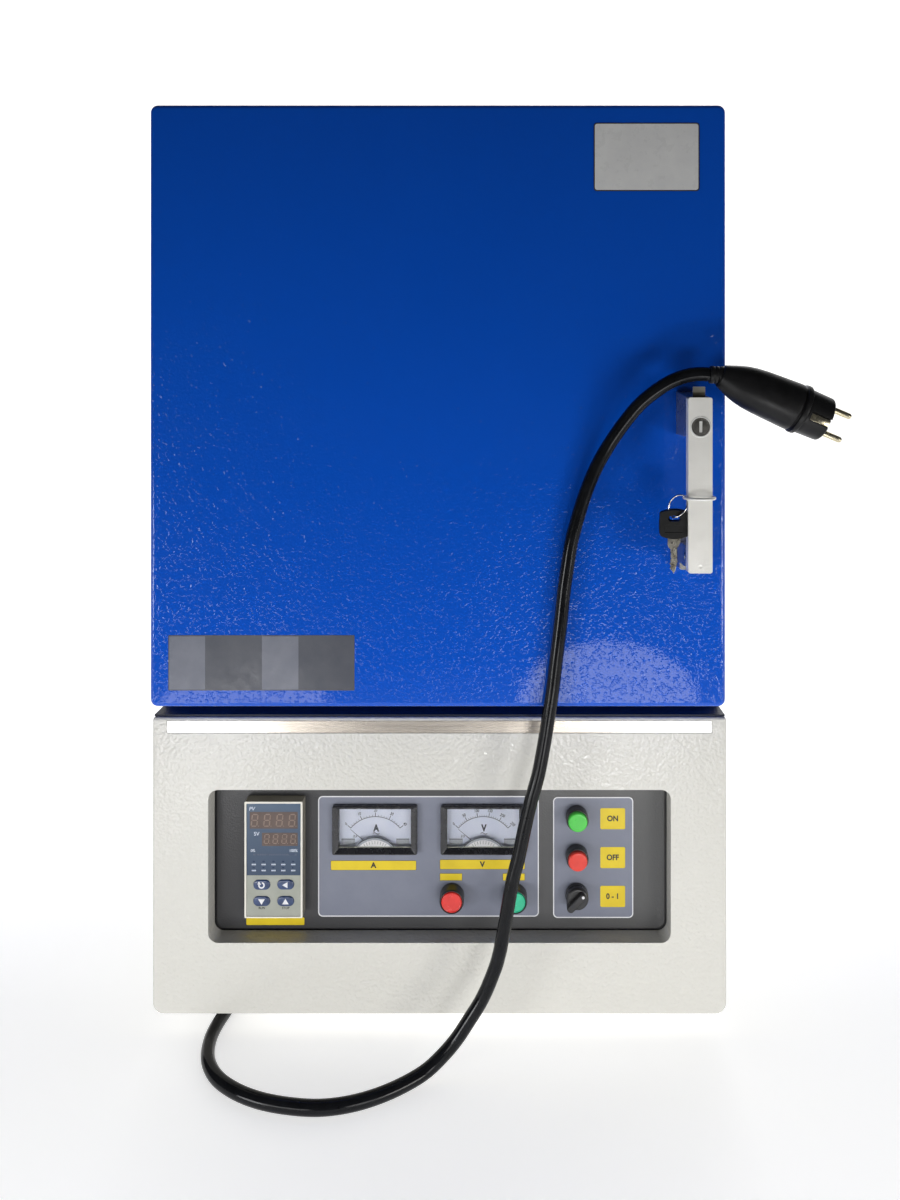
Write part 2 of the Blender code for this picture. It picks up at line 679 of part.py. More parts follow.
bar = box(
    "latch_lever",
    (BAR[0], BAR_Y0, BAR[2]),
    (BAR[1], BAR_Y1, BAR[3]),
    SATIN,
    bevels=((all_edges, 1.0, 2),),
)
join(
    bar,
    box("add_lug", (193.8, -64, 399.8), (200.5, PIVOT_Y, 411.2), cutter=True),
    cylinder("add_lug_eye", (197.15, PIVOT_Y, PIVOT_Z), 5.7, 6.7, "+x", sides=18, cutter=True),
)
cut(
    bar,
    cutcyl("cut_lever_bore", (197.15, PIVOT_Y, PIVOT_Z), 2.35, 30, "+x", 12),
    cutcyl("cut_lock_hole", (LOCK_X, -66, LOCK_Z), 7.2, 30, "+y", 24),
)
turned(
    "lock_cylinder",
    [(0, 0.5), (6.3, 0.5), (6.9, 0.1), (6.9, -7.2), (4.8, -7.2), (4.8, -17.5), (0, -17.5)],
    stand((LOCK_X, BAR_Y0, LOCK_Z), "-y"),
    STEEL,
)
cut(bpy.data.objects["lock_cylinder"], cutbox("cut_keyway", (LOCK_X - 0.8, -75, LOCK_Z - 4), (LOCK_X + 0.8, -66, LOCK_Z + 4)))

tongue = box("latch_tongue", (194.2, 8, 441), (200.4, 33.4, 472), STEEL)
join(tongue, box("add_tongue_arm", (194.2, -18, 441), (200.4, 12, 452), cutter=True))

# key ring round the lever bar, and a key on it
ring_mid = at(197.05, -66.2, 450.8)
ring_mesh = bpy.data.meshes.new("key_ring")
bm = bmesh.new()
loops = []
for i in range(24):
    a = 2 * math.pi * i / 24
    out = Vector((math.cos(a), math.sin(a), 0))
    loops.append(
        [
            bm.verts.new(out * (11.1 + 0.8 * math.cos(b)) * MM + Vector((0, 0, 0.8 * MM * math.sin(b))))
            for b in [2 * math.pi * j / 6 for j in range(6)]
        ]
    )
for i in range(24):
    for j in range(6):
        a, b = loops[i], loops[(i + 1) % 24]
        bm.faces.new((a[j], b[j], b[(j + 1) % 6], a[(j + 1) % 6]))
bmesh.ops.recalc_face_normals(bm, faces=bm.faces)
bm.to_mesh(ring_mesh)
bm.free()
ring = new_object("key_ring", ring_mesh, STEEL)
ring.location = ring_mid

key = box("key", (166.6, -67.7, 421.4), (187.2, -64.7, 442.8), BLACK, bevels=((along(1), 3.0, 3),))
join(
    key,
    box("add_key_shoulder", (172.6, -67.2, 413.5), (181.5, -65.2, 424), cutter=True),
    box("add_key_blade", (173.8, -67.2, 395.5), (179.8, -65.2, 416), cutter=True),
)
cut(key, cutbox("cut_key_slot", (172.8, -75, 434.2), (181.6, -60, 438.2), bevels=((along(1), 1.6, 2),)))

# ======================================================================= cord
gland = turned(
    "cord_gland",
    [(0, 40), (7.2, 40), (8.2, 28), (9.4, 14), (9.6, 8), (13, 8), (13, 0.3), (8.4, 0.3), (8.4, -12), (0, -12)],
    stand((GLAND_X, BODY_BACK, GLAND_Z), "+y"),
    RUBBER,
    steps=16,
)

# rear drop, along the floor under the base, and a loose loop in front
FLOOR_ROUTE = [
    (-150, 560.4, 118), (-150, 578, 117.5), (-150.5, 596, 112), (-151.5, 611, 99),
    (-152.5, 618.5, 80), (-153, 618, 57), (-153.5, 609, 34), (-154, 592, 18), (-155, 570, 9.2),
    (-156, 545, 6.2), (-158, 480, 5.9), (-161, 380, 5.9), (-164, 280, 5.9), (-167, 180, 5.9),
    (-170, 120, 5.9), (-174.5, 70, 5.9), (-181, 30, 5.9), (-184.8, 5, 5.9), (-184.5, -12, 5.9),
    (-179.5, -31, 5.9), (-168.0, -48, 5.9), (-151, -61, 5.9), (-130, -70.5, 5.9), (-106, -76, 5.9),
    (-82, -77.5, 5.9), (-58, -73.0, 5.9), (-36, -63.5, 6.0), (-17.5, -52.2, 6.9),
]
RISER_ROUTE = [
    (-7.0, -46.0, 9.4), (3.0, -42.0, 16.0), (14.5, -39.5, 27.5), (25.0, -38.5, 42.5), (35.0, -37.5, 58.0),
    (42.3, -37.0, 74.0), (47.9, -36.5, 90.0), (59.2, -36.0, 151.0), (63.5, -35.5, 167.0),
    (66.8, -35.0, 182.5), (70.2, -34.5, 198.0), (74.1, -34.0, 213.5), (78.7, -33.5, 229.5),
    (81.9, -33.2, 245.0), (84.6, -33.0, 260.5), (87.0, -33.0, 276.0), (90.1, -32.8, 295.5),
    (92.4, -32.6, 315.0), (94.8, -32.6, 334.5), (97.1, -32.6, 354.0), (99.1, -32.7, 373.5),
    (101.8, -33.0, 393.0), (104.9, -33.5, 412.3), (109.8, -34.3, 431.5), (115.8, -35.5, 451.0),
    (123.5, -37.5, 470.3), (133.5, -41.0, 489.0), (144.8, -46.5, 506.6), (155.2, -51.0, 519.9),
    (165.6, -55.5, 529.4), (176.8, -58.8, 537.0), (187.6, -60.8, 541.4), (195.0, -61.4, 542.8),
    (200.4, -61.7, 543.0), (205.4, -61.8, 542.6),
]


LEAD_STEP = 0.009
line = smooth_route([at(*p) for p in FLOOR_ROUTE + RISER_ROUTE], LEAD_STEP)
# every third point is enough, except over the handle, where the lead bends most
line = [p for i, p in enumerate(line) if i % 3 == 0 or i > len(line) - 12]
# the lead is parted where it leaves the floor, square across, with a gap of 0.4 mm
where = min(range(len(line)), key=lambda i: (line[i] - at(*FLOOR_ROUTE[-1])).length)
tangent = (line[where + 1] - line[where - 1]).normalized()


def squared(points, start, end):
    """The first and last steps are short, so the end faces are square to the lead."""
    points = list(points)
    points.insert(1, points[0] + start * 3 * MM)
    points.insert(-1, points[-1] - end * 3 * MM)
    return points


first = Vector((0, 1, 0))
last = (at(*RISER_ROUTE[-1]) - at(*RISER_ROUTE[-2])).normalized()
tube("cord_floor", squared(line[:where] + [line[where] - tangent * 0.2 * MM], first, tangent), CORD_R, RUBBER)
tube("cord_riser", squared([line[where] + tangent * 0.2 * MM] + line[where + 1 :], tangent, last), CORD_R, RUBBER)

# plug: a turned body that points right and down, with a short level sleeve
# over the lead's end, and two pins
PLUG_TILT = math.radians(23.0)


def facing(point, direction):
    side_dir = Vector((0, 1, 0))
    up_dir = direction.cross(side_dir).normalized()
    side_dir = up_dir.cross(direction).normalized()
    return Matrix.Translation(at(*point)) @ Matrix(
        (
            (up_dir.x, side_dir.x, direction.x, 0),
            (up_dir.y, side_dir.y, direction.y, 0),
            (up_dir.z, side_dir.z, direction.z, 0),
            (0, 0, 0, 1),
        )
    )


plug_frame = facing((204.9, -61.8, 545.6), Vector((math.cos(PLUG_TILT), 0, -math.sin(PLUG_TILT))))
body = turned(
    "plug_body",
    [
        (0, 94.6), (15.4, 94.6), (16.8, 93.2), (17.4, 75.8), (19.0, 75.2), (19.0, 72.2), (18.3, 71.6),
        (17.5, 55), (15.9, 33), (13.2, 22), (9.6, 12.0), (8.4, 9.9), (0, 9.9),
    ],
    plug_frame,
    RUBBER,
    steps=24,
)
join(body, turned("add_plug_sleeve", [(0, 16), (6.8, 16), (6.8, 0.4), (0, 0.4)], facing(RISER_ROUTE[-1], last), steps=24, cutter=True))
cut(body, turned("cut_plug_front", [(0, 99), (14.6, 99), (14.6, 84.6), (0, 84.6)], plug_frame, steps=20, cutter=True))
insert = turned("plug_pins", [(0, 93.8), (14.2, 93.8), (14.2, 85.0), (0, 85.0)], plug_frame, STEEL, steps=20)
for i, dx in enumerate((-9.5, 9.5)):
    join(
        insert,
        turned(
            f"add_pin_{i}",
            [(0, 112.2), (1.6, 112.1), (2.4, 110.5), (2.4, 88.6), (0, 88.6)],
            plug_frame @ Matrix.Translation((dx * MM, 0, 0)),
            steps=12,
            cutter=True,
        ),
    )
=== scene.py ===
"""Bench-top dental lab furnace: the looks.

Everything is in metres, +Z up, -Y towards the viewer. Lengths are written in
millimetres, and y is counted from the front face of the grey base.
"""

import math

import bmesh
import bpy
from mathutils import Matrix, Vector


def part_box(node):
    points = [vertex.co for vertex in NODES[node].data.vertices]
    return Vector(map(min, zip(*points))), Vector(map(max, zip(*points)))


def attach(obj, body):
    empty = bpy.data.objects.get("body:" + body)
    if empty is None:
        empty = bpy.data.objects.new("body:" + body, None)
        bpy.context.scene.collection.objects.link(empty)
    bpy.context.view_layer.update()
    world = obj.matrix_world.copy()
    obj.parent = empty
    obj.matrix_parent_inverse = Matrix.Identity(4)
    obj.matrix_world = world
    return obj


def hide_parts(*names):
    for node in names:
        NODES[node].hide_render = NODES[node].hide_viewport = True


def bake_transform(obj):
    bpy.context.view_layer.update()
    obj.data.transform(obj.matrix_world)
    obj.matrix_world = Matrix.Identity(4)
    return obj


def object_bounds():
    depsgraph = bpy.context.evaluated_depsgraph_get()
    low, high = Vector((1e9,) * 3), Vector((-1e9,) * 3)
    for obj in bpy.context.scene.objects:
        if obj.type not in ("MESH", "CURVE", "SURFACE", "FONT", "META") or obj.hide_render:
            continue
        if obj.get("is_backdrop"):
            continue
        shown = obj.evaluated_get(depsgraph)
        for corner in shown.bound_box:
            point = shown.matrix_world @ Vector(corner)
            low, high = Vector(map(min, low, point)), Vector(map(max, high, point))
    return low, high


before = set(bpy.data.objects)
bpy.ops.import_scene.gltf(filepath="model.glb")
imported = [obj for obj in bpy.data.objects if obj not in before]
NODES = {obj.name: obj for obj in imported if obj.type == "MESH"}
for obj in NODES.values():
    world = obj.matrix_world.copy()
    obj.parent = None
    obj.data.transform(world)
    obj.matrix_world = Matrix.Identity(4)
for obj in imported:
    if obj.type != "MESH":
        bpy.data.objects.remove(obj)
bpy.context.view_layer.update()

MM = 0.001
Y_FRONT = -240.95


def at(x, y, z):
    return Vector((x, y + Y_FRONT, z)) * MM


# ============================================================ camera and lights
cam_data = bpy.data.cameras.new("camera")
cam_data.lens = 27.0
cam_data.sensor_width = 36.0
cam_data.shift_x = -40 / 1200
cam_data.shift_y = -210 / 1200
cam_data.clip_start = 0.01
cam_data.clip_end = 50
cam = bpy.data.objects.new("camera", cam_data)
bpy.context.scene.collection.objects.link(cam)
cam.location = (0.0413, (Y_FRONT - 736) * MM, 0.531)
cam.rotation_euler = (math.radians(90), 0, 0)
bpy.context.scene.camera = cam


def area_light(name, where, look, size, power, colour=(1, 1, 1), size_y=None):
    data = bpy.data.lights.new(name, "AREA")
    data.energy = power
    data.color = colour
    data.size = size
    if size_y:
        data.shape = "RECTANGLE"
        data.size_y = size_y
    o = bpy.data.objects.new(name, data)
    bpy.context.scene.collection.objects.link(o)
    o.location = where
    direction = Vector(look) - Vector(where)
    o.rotation_euler = direction.to_track_quat("-Z", "Y").to_euler()
    return o


# ================================================================ node helpers
def new_material(name, rgb, rough, metal=0.0, **sockets):
    """A Principled material; sockets are set on the shader itself."""
    m = bpy.data.materials.new(name)
    m.use_nodes = True
    tree = m.node_tree
    shader = tree.nodes["Principled BSDF"]
    shader.inputs["Base Color"].default_value = (*rgb, 1.0)
    shader.inputs["Roughness"].default_value = rough
    shader.inputs["Metallic"].default_value = metal
    for key, value in sockets.items():
        shader.inputs[key.replace("_", " ")].default_value = value
    m.diffuse_color = (*rgb, 1.0)
    return m


def parts_of(m):
    return m.node_tree, m.node_tree.nodes["Principled BSDF"]


def coords(tree, stretch=(1, 1, 1), space="Object"):
    tc = tree.nodes.new("ShaderNodeTexCoord")
    mp = tree.nodes.new("ShaderNodeMapping")
    mp.inputs["Scale"].default_value = stretch
    tree.links.new(tc.outputs[space], mp.inputs["Vector"])
    return mp.outputs["Vector"]


def noise(tree, scale, detail=2.0, rough=0.5, stretch=(1, 1, 1), distortion=0.0):
    n = tree.nodes.new("ShaderNodeTexNoise")
    n.inputs["Scale"].default_value = scale
    n.inputs["Detail"].default_value = detail
    n.inputs["Roughness"].default_value = rough
    n.inputs["Distortion"].default_value = distortion
    tree.links.new(coords(tree, stretch), n.inputs["Vector"])
    return n.outputs["Fac"]


def cells(tree, scale, feature="F1", stretch=(1, 1, 1), smooth=None):
    n = tree.nodes.new("ShaderNodeTexVoronoi")
    n.feature = feature
    n.inputs["Scale"].default_value = scale
    if smooth is not None and feature == "SMOOTH_F1":
        n.inputs["Smoothness"].default_value = smooth
    tree.links.new(coords(tree, stretch), n.inputs["Vector"])
    return n.outputs["Distance"]


def remap(tree, value, a, b, c, d):
    """value from a..b to c..d, clamped."""
    n = tree.nodes.new("ShaderNodeMapRange")
    n.inputs["From Min"].default_value = a
    n.inputs["From Max"].default_value = b
    n.inputs["To Min"].default_value = c
    n.inputs["To Max"].default_value = d
    tree.links.new(value, n.inputs["Value"])
    return n.outputs["Result"]


def maths(tree, kind, a, b):
    n = tree.nodes.new("ShaderNodeMath")
    n.operation = kind
    for socket, v in zip(n.inputs, (a, b)):
        if isinstance(v, (int, float)):
            socket.default_value = v
        else:
            tree.links.new(v, socket)
    return n.outputs[0]


def mix(tree, fac, a, b, kind="MIX"):
    n = tree.nodes.new("ShaderNodeMix")
    n.data_type = "RGBA"
    n.blend_type = kind
    if isinstance(fac, (int, float)):
        n.inputs[0].default_value = fac
    else:
        tree.links.new(fac, n.inputs[0])
    for socket, v in ((n.inputs[6], a), (n.inputs[7], b)):
        if isinstance(v, tuple):
            socket.default_value = (*v[:3], 1.0)
        else:
            tree.links.new(v, socket)
    return n.outputs[2]


def bump(tree, shader, layers, socket="Normal"):
    """layers: (height output, strength, distance in metres), stacked."""
    last = None
    for height, strength, distance in layers:
        n = tree.nodes.new("ShaderNodeBump")
        n.inputs["Strength"].default_value = strength
        n.inputs["Distance"].default_value = distance
        tree.links.new(height, n.inputs["Height"])
        if last is not None:
            tree.links.new(last, n.inputs["Normal"])
        last = n.outputs["Normal"]
    tree.links.new(last, shader.inputs[socket])
    return last


def vary(m, rgb_b, scale=40, amount=1.0, detail=4, lo=0.35, hi=0.65, stretch=(1, 1, 1)):
    """The base colour drifts between the material's own and rgb_b."""
    tree, shader = parts_of(m)
    base = tuple(shader.inputs["Base Color"].default_value[:3])
    fac = remap(tree, noise(tree, scale, detail, 0.6, stretch), lo, hi, 0.0, amount)
    out = mix(tree, fac, base, rgb_b)
    tree.links.new(out, shader.inputs["Base Color"])
    return out


def vary_rough(m, lo, hi, scale=60, detail=4, stretch=(1, 1, 1)):
    tree, shader = parts_of(m)
    tree.links.new(
        remap(tree, noise(tree, scale, detail, 0.6, stretch), 0.3, 0.7, lo, hi),
        shader.inputs["Roughness"],
    )


def world_z(tree, axis=2):
    """Height above the floor (or another axis) at rest, from the piece's own coordinates."""
    tc = tree.nodes.new("ShaderNodeTexCoord")
    s = tree.nodes.new("ShaderNodeSeparateXYZ")
    tree.links.new(tc.outputs["Object"], s.inputs[0])
    return s.outputs[axis]


# ================================================================ mesh helpers
def finish_mesh(name, bm, mats, body, replaces=(), smooth=30, weighted=False):
    mesh = bpy.data.meshes.new(name)
    bmesh.ops.recalc_face_normals(bm, faces=bm.faces)
    bm.to_mesh(mesh)
    bm.free()
    return finish_object(name, mesh, mats, body, replaces, smooth, weighted)


def finish_object(name, mesh, mats, body, replaces=(), smooth=30, weighted=False):
    o = bpy.data.objects.new(name, mesh)
    bpy.context.scene.collection.objects.link(o)
    mesh.materials.clear()
    for m in mats if isinstance(mats, (list, tuple)) else [mats]:
        mesh.materials.append(m)
    if smooth is not None:
        mesh.shade_smooth()
        mesh.set_sharp_from_angle(angle=math.radians(smooth))
    if weighted:
        w = o.modifiers.new("normals", "WEIGHTED_NORMAL")
        w.keep_sharp = True
        w.weight = 100
    if body:
        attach(o, body)
    if replaces:
        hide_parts(*([replaces] if isinstance(replaces, str) else replaces))
    return o


def side_of(v, half):
    return [0 if abs(abs(v.co[k]) - half[k]) > 1e-6 else (1 if v.co[k] > 0 else -1) for k in range(3)]


def box_bm(lo, hi, bevels=()):
    """A box between two corners in mm; bevels holds (which edges, radius, segments)."""
    lo, hi = at(*lo), at(*hi)
    mid, size = (lo + hi) / 2, hi - lo
    bm = bmesh.new()
    bmesh.ops.create_cube(bm, size=1.0)
    bmesh.ops.scale(bm, vec=size, verts=bm.verts)
    half = size / 2
    for test, radius, segments in bevels:
        chosen = [e for e in bm.edges if test([side_of(v, half) for v in e.verts])]
        bmesh.ops.bevel(bm, geom=chosen, offset=radius * MM, segments=segments, profile=0.5, affect="EDGES")
    bmesh.ops.translate(bm, vec=mid, verts=bm.verts)
    return bm


def along(axis):
    others = [k for k in range(3) if k != axis]
    return lambda s: (
        s[0][axis] * s[1][axis] == -1
        and all(s[0][k] == s[1][k] != 0 for k in others)
    )


def along_low(axis, other, sign):
    inner = along(axis)
    return lambda s: inner(s) and s[0][other] == sign


def rim(axis, sign):
    return lambda s: s[0][axis] == sign and s[1][axis] == sign


def every(s):
    return True


TURN = {
    "-y": Matrix.Rotation(math.radians(90), 4, "X"),
    "+y": Matrix.Rotation(math.radians(-90), 4, "X"),
    "+x": Matrix.Rotation(math.radians(90), 4, "Y"),
    "-x": Matrix.Rotation(math.radians(-90), 4, "Y"),
    "+z": Matrix.Identity(4),
}


def stand(centre, axis):
    return Matrix.Translation(at(*centre)) @ TURN[axis]


def turned_bm(profile, matrix, steps=48):
    """A solid of revolution round the local Z axis; profile is (radius, height) in mm, from the axis to the axis."""
    bm = bmesh.new()
    rings = []
    for r, z in profile:
        if r < 1e-6:
            rings.append([bm.verts.new(matrix @ Vector((0, 0, z * MM)))])
        else:
            rings.append(
                [
                    bm.verts.new(matrix @ Vector((r * MM * math.cos(a), r * MM * math.sin(a), z * MM)))
                    for a in [2 * math.pi * i / steps for i in range(steps)]
                ]
            )
    for a, b in zip(rings, rings[1:]):
        for i in range(steps):
            j = (i + 1) % steps
            if len(a) == 1 and len(b) == 1:
                continue
            if len(a) == 1:
                bm.faces.new((a[0], b[i], b[j]))
            elif len(b) == 1:
                bm.faces.new((a[i], b[0], a[j]))
            else:
                bm.faces.new((a[i], b[i], b[j], a[j]))
    if len(rings[0]) > 1:
        bm.faces.new(rings[0])
    if len(rings[-1]) > 1:
        bm.faces.new(list(reversed(rings[-1])))
    return bm


def rounded(profile, radius=0.4, steps=3):
    """The same profile with its inner corners rounded."""
    out = [profile[0]]
    for p, q, r in zip(profile, profile[1:], profile[2:]):
        a, b, c = Vector((*p, 0)), Vector((*q, 0)), Vector((*r, 0))
        u, v = a - b, c - b
        k = min(radius, u.length * 0.45, v.length * 0.45)
        if k < 0.02 or u.angle(v, 0) > math.radians(172):
            out.append(q)
            continue
        s, e = b + u.normalized() * k, b + v.normalized() * k
        for i in range(steps + 1):
            t = i / steps
            w = s * (1 - t) ** 2 + b * 2 * t * (1 - t) + e * t * t
            out.append((w.x, w.y))
    out.append(profile[-1])
    return out


def apply_all(o):
    """Turns the object's modifiers into its mesh."""
    bpy.context.view_layer.update()
    made = bpy.data.meshes.new_from_object(o.evaluated_get(bpy.context.evaluated_depsgraph_get()))
    o.modifiers.clear()
    o.data = made
    return o


def boolean(o, tools, kind="DIFFERENCE"):
    """o cut by (or joined with) bmesh tools, applied."""
    for i, bm in enumerate(tools):
        mesh = bpy.data.meshes.new("tool")
        bmesh.ops.recalc_face_normals(bm, faces=bm.faces)
        bm.to_mesh(mesh)
        bm.free()
        t = bpy.data.objects.new("tool", mesh)
        bpy.context.scene.collection.objects.link(t)
        t.hide_render = True
        mod = o.modifiers.new("b", "BOOLEAN")
        mod.operation = kind
        mod.object = t
        mod.solver = "EXACT"
        apply_all(o)
        bpy.data.objects.remove(t, do_unlink=True)
    return o


def raw(bm, name="raw"):
    mesh = bpy.data.meshes.new(name)
    bmesh.ops.recalc_face_normals(bm, faces=bm.faces)
    bm.to_mesh(mesh)
    bm.free()
    o = bpy.data.objects.new(name, mesh)
    bpy.context.scene.collection.objects.link(o)
    return o


def adopt(o, name, mats, body, replaces=(), smooth=30, weighted=False, bevel=None):
    """Turns a raw object into a finished piece."""
    mesh = o.data
    bpy.data.objects.remove(o, do_unlink=True)
    mesh.name = name
    o = finish_object(name, mesh, mats, body, replaces, smooth, False)
    if bevel:
        b = o.modifiers.new("edges", "BEVEL")
        b.width = bevel[0] * MM
        b.segments = bevel[1]
        b.limit_method = "ANGLE"
        b.angle_limit = math.radians(bevel[2] if len(bevel) > 2 else 40)
        b.harden_normals = False
    if weighted:
        w = o.modifiers.new("normals", "WEIGHTED_NORMAL")
        w.keep_sharp = True
        w.weight = 100
    return o


def merge(*bms):
    """Several bmeshes as one."""
    out = bms[0]
    for b in bms[1:]:
        mesh = bpy.data.meshes.new("part")
        b.to_mesh(mesh)
        b.free()
        out.from_mesh(mesh)
        bpy.data.meshes.remove(mesh)
    return out


def tube_bm(points, radius, sides=16, closed=False, radii=None):
    """A round tube along points (metres), with caps; radii may vary point by point (mm)."""
    pts = [Vector(p) for p in points]
    n = len(pts)
    tangents = []
    for i in range(n):
        if closed:
            t = pts[(i + 1) % n] - pts[i - 1]
        else:
            t = pts[min(i + 1, n - 1)] - pts[max(i - 1, 0)]
        tangents.append(t.normalized())
    up = Vector((0, 0, 1)) if abs(tangents[0].z) < 0.9 else Vector((1, 0, 0))
    normal = (up - tangents[0] * up.dot(tangents[0])).normalized()
    bm = bmesh.new()
    rings = []
    for i in range(n):
        if i:
            normal = (normal - tangents[i] * normal.dot(tangents[i])).normalized()
        other = tangents[i].cross(normal)
        r = (radii[i] if radii else radius) * MM
        rings.append(
            [bm.verts.new(pts[i] + (normal * math.cos(a) + other * math.sin(a)) * r) for a in [2 * math.pi * j / sides for j in range(sides)]]
        )
    pairs = list(zip(rings, rings[1:])) + ([(rings[-1], rings[0])] if closed else [])
    for a, b in pairs:
        for j in range(sides):
            k = (j + 1) % sides
            bm.faces.new((a[j], b[j], b[k], a[k]))
    if not closed:
        bm.faces.new(list(reversed(rings[0])))
        bm.faces.new(rings[-1])
    return bm


def smooth_route(points, spacing):
    """Points at an even spacing along a smooth curve through the given ones (centripetal)."""
    pts = [Vector(p) for p in points]
    pts = [2 * pts[0] - pts[1], *pts, 2 * pts[-1] - pts[-2]]
    fine = []
    for i in range(1, len(pts) - 2):
        p0, p1, p2, p3 = pts[i - 1 : i + 3]
        t0 = 0.0
        t1 = t0 + max((p1 - p0).length, 1e-9) ** 0.5
        t2 = t1 + max((p2 - p1).length, 1e-9) ** 0.5
        t3 = t2 + max((p3 - p2).length, 1e-9) ** 0.5
        for k in range(24):
            t = t1 + (t2 - t1) * k / 24
            a1 = p0 * ((t1 - t) / (t1 - t0)) + p1 * ((t - t0) / (t1 - t0))
            a2 = p1 * ((t2 - t) / (t2 - t1)) + p2 * ((t - t1) / (t2 - t1))
            a3 = p2 * ((t3 - t) / (t3 - t2)) + p3 * ((t - t2) / (t3 - t2))
            b1 = a1 * ((t2 - t) / (t2 - t0)) + a2 * ((t - t0) / (t2 - t0))
            b2 = a2 * ((t3 - t) / (t3 - t1)) + a3 * ((t - t1) / (t3 - t1))
            fine.append(b1 * ((t2 - t) / (t2 - t1)) + b2 * ((t - t1) / (t2 - t1)))
    fine.append(pts[-2])
    run = [0.0]
    for a, b in zip(fine, fine[1:]):
        run.append(run[-1] + (b - a).length)
    count = max(2, round(run[-1] / spacing))
    out, j = [], 0
    for i in range(count + 1):
        want = run[-1] * i / count
        while j < len(run) - 2 and run[j + 1] < want:
            j += 1
        f = (want - run[j]) / max(run[j + 1] - run[j], 1e-9)
        out.append(fine[j].lerp(fine[j + 1], min(max(f, 0.0), 1.0)))
    return out


def rounded_outline(x0, x1, z0, z1, r, steps=6):
    """Points of a rounded rectangle in the front view, counter-clockwise, in mm."""
    out = []
    for cx, cz, a0 in ((x1 - r, z1 - r, 0), (x0 + r, z1 - r, 90), (x0 + r, z0 + r, 180), (x1 - r, z0 + r, 270)):
        for i in range(steps + 1):
            a = math.radians(a0 + 90 * i / steps)
            out.append((cx + r * math.cos(a), cz + r * math.sin(a)))
    return out


def plate_bm(outline, y_front, y_back, hole=None):
    """A flat plate with that outline (x, z in mm), between two y values; hole is an inner outline with as many points."""
    bm = bmesh.new()

    def ring(points, y):
        return [bm.verts.new(at(x, y, z)) for x, z in points]

    a, b = ring(outline, y_front), ring(outline, y_back)
    n = len(outline)
    for i in range(n):
        j = (i + 1) % n
        bm.faces.new((a[i], a[j], b[j], b[i]))
    if hole:
        c, d = ring(hole, y_front), ring(hole, y_back)
        for i in range(n):
            j = (i + 1) % n
            bm.faces.new((c[i], d[i], d[j], c[j]))
            bm.faces.new((a[j], a[i], c[i], c[j]))
            bm.faces.new((b[i], b[j], d[j], d[i]))
    else:
        bm.faces.new(list(reversed(a)))
        bm.faces.new(b)
    return bm


def text_mesh(name, body_text, size, where, mat, body, depth=0.1, shear=0.0, align="CENTER", spin=0.0, stretch=1.0, bold=0.0):
    """Flat lettering facing the viewer; where is its centre in mm, size its height in mm."""
    c = bpy.data.curves.new(name, "FONT")
    c.body = body_text
    c.size = size * MM
    c.align_x = align
    c.align_y = "CENTER"
    c.extrude = depth * MM / 2
    c.shear = shear
    c.offset = bold * MM
    c.resolution_u = 4
    o = bpy.data.objects.new(name, c)
    bpy.context.scene.collection.objects.link(o)
    o.matrix_world = (
        Matrix.Translation(at(*where))
        @ Matrix.Rotation(math.radians(90), 4, "X")
        @ Matrix.Rotation(math.radians(spin), 4, "Z")
        @ Matrix.Diagonal((stretch, 1, 1, 1))
    )
    bpy.context.view_layer.update()
    mesh = bpy.data.meshes.new_from_object(o.evaluated_get(bpy.context.evaluated_depsgraph_get()))
    mesh.transform(o.matrix_world)
    bpy.data.objects.remove(o, do_unlink=True)
    return finish_object(name, mesh, mat, body, smooth=None)


def dress(node, m):
    """A material on a CAD node."""
    o = NODES[node]
    if not o.material_slots:
        o.data.materials.append(m)
    for s in o.material_slots:
        s.link = "OBJECT"
        s.material = m
    return o


# =================================================================== the cord
# the same route as the frame's: down behind the casing, under the base, a loose
# loop in front, up the door and over the handle
FLOOR_ROUTE = [
    (-150, 560.4, 118), (-150, 578, 117.5), (-150.5, 596, 112), (-151.5, 611, 99),
    (-152.5, 618.5, 80), (-153, 618, 57), (-153.5, 609, 34), (-154, 592, 18), (-155, 570, 9.2),
    (-156, 545, 6.2), (-158, 480, 5.9), (-161, 380, 5.9), (-164, 280, 5.9), (-167, 180, 5.9),
    (-170, 120, 5.9), (-174.5, 70, 5.9), (-181, 30, 5.9), (-184.8, 5, 5.9), (-184.5, -12, 5.9),
    (-179.5, -31, 5.9), (-168.0, -48, 5.9), (-151, -61, 5.9), (-130, -70.5, 5.9), (-106, -76, 5.9),
    (-82, -77.5, 5.9), (-58, -73.0, 5.9), (-36, -63.5, 6.0), (-17.5, -52.2, 6.9),
]
RISER_ROUTE = [
    (-7.0, -46.0, 9.4), (3.0, -42.0, 16.0), (14.5, -39.5, 27.5), (25.0, -38.5, 42.5), (35.0, -37.5, 58.0),
    (42.3, -37.0, 74.0), (47.9, -36.5, 90.0), (59.2, -36.0, 151.0), (63.5, -35.5, 167.0),
    (66.8, -35.0, 182.5), (70.2, -34.5, 198.0), (74.1, -34.0, 213.5), (78.7, -33.5, 229.5),
    (81.9, -33.2, 245.0), (84.6, -33.0, 260.5), (87.0, -33.0, 276.0), (90.1, -32.8, 295.5),
    (92.4, -32.6, 315.0), (94.8, -32.6, 334.5), (97.1, -32.6, 354.0), (99.1, -32.7, 373.5),
    (101.8, -33.0, 393.0), (104.9, -33.5, 412.3), (109.8, -34.3, 431.5), (115.8, -35.5, 451.0),
    (123.5, -37.5, 470.3), (133.5, -41.0, 489.0), (144.8, -46.5, 506.6), (155.2, -51.0, 519.9),
    (165.6, -55.5, 529.4), (176.8, -58.8, 537.0), (187.6, -60.8, 541.4), (195.0, -61.4, 542.8),
    (200.4, -61.7, 543.0), (205.4, -61.8, 542.6),
]
CORD_R = 5.4

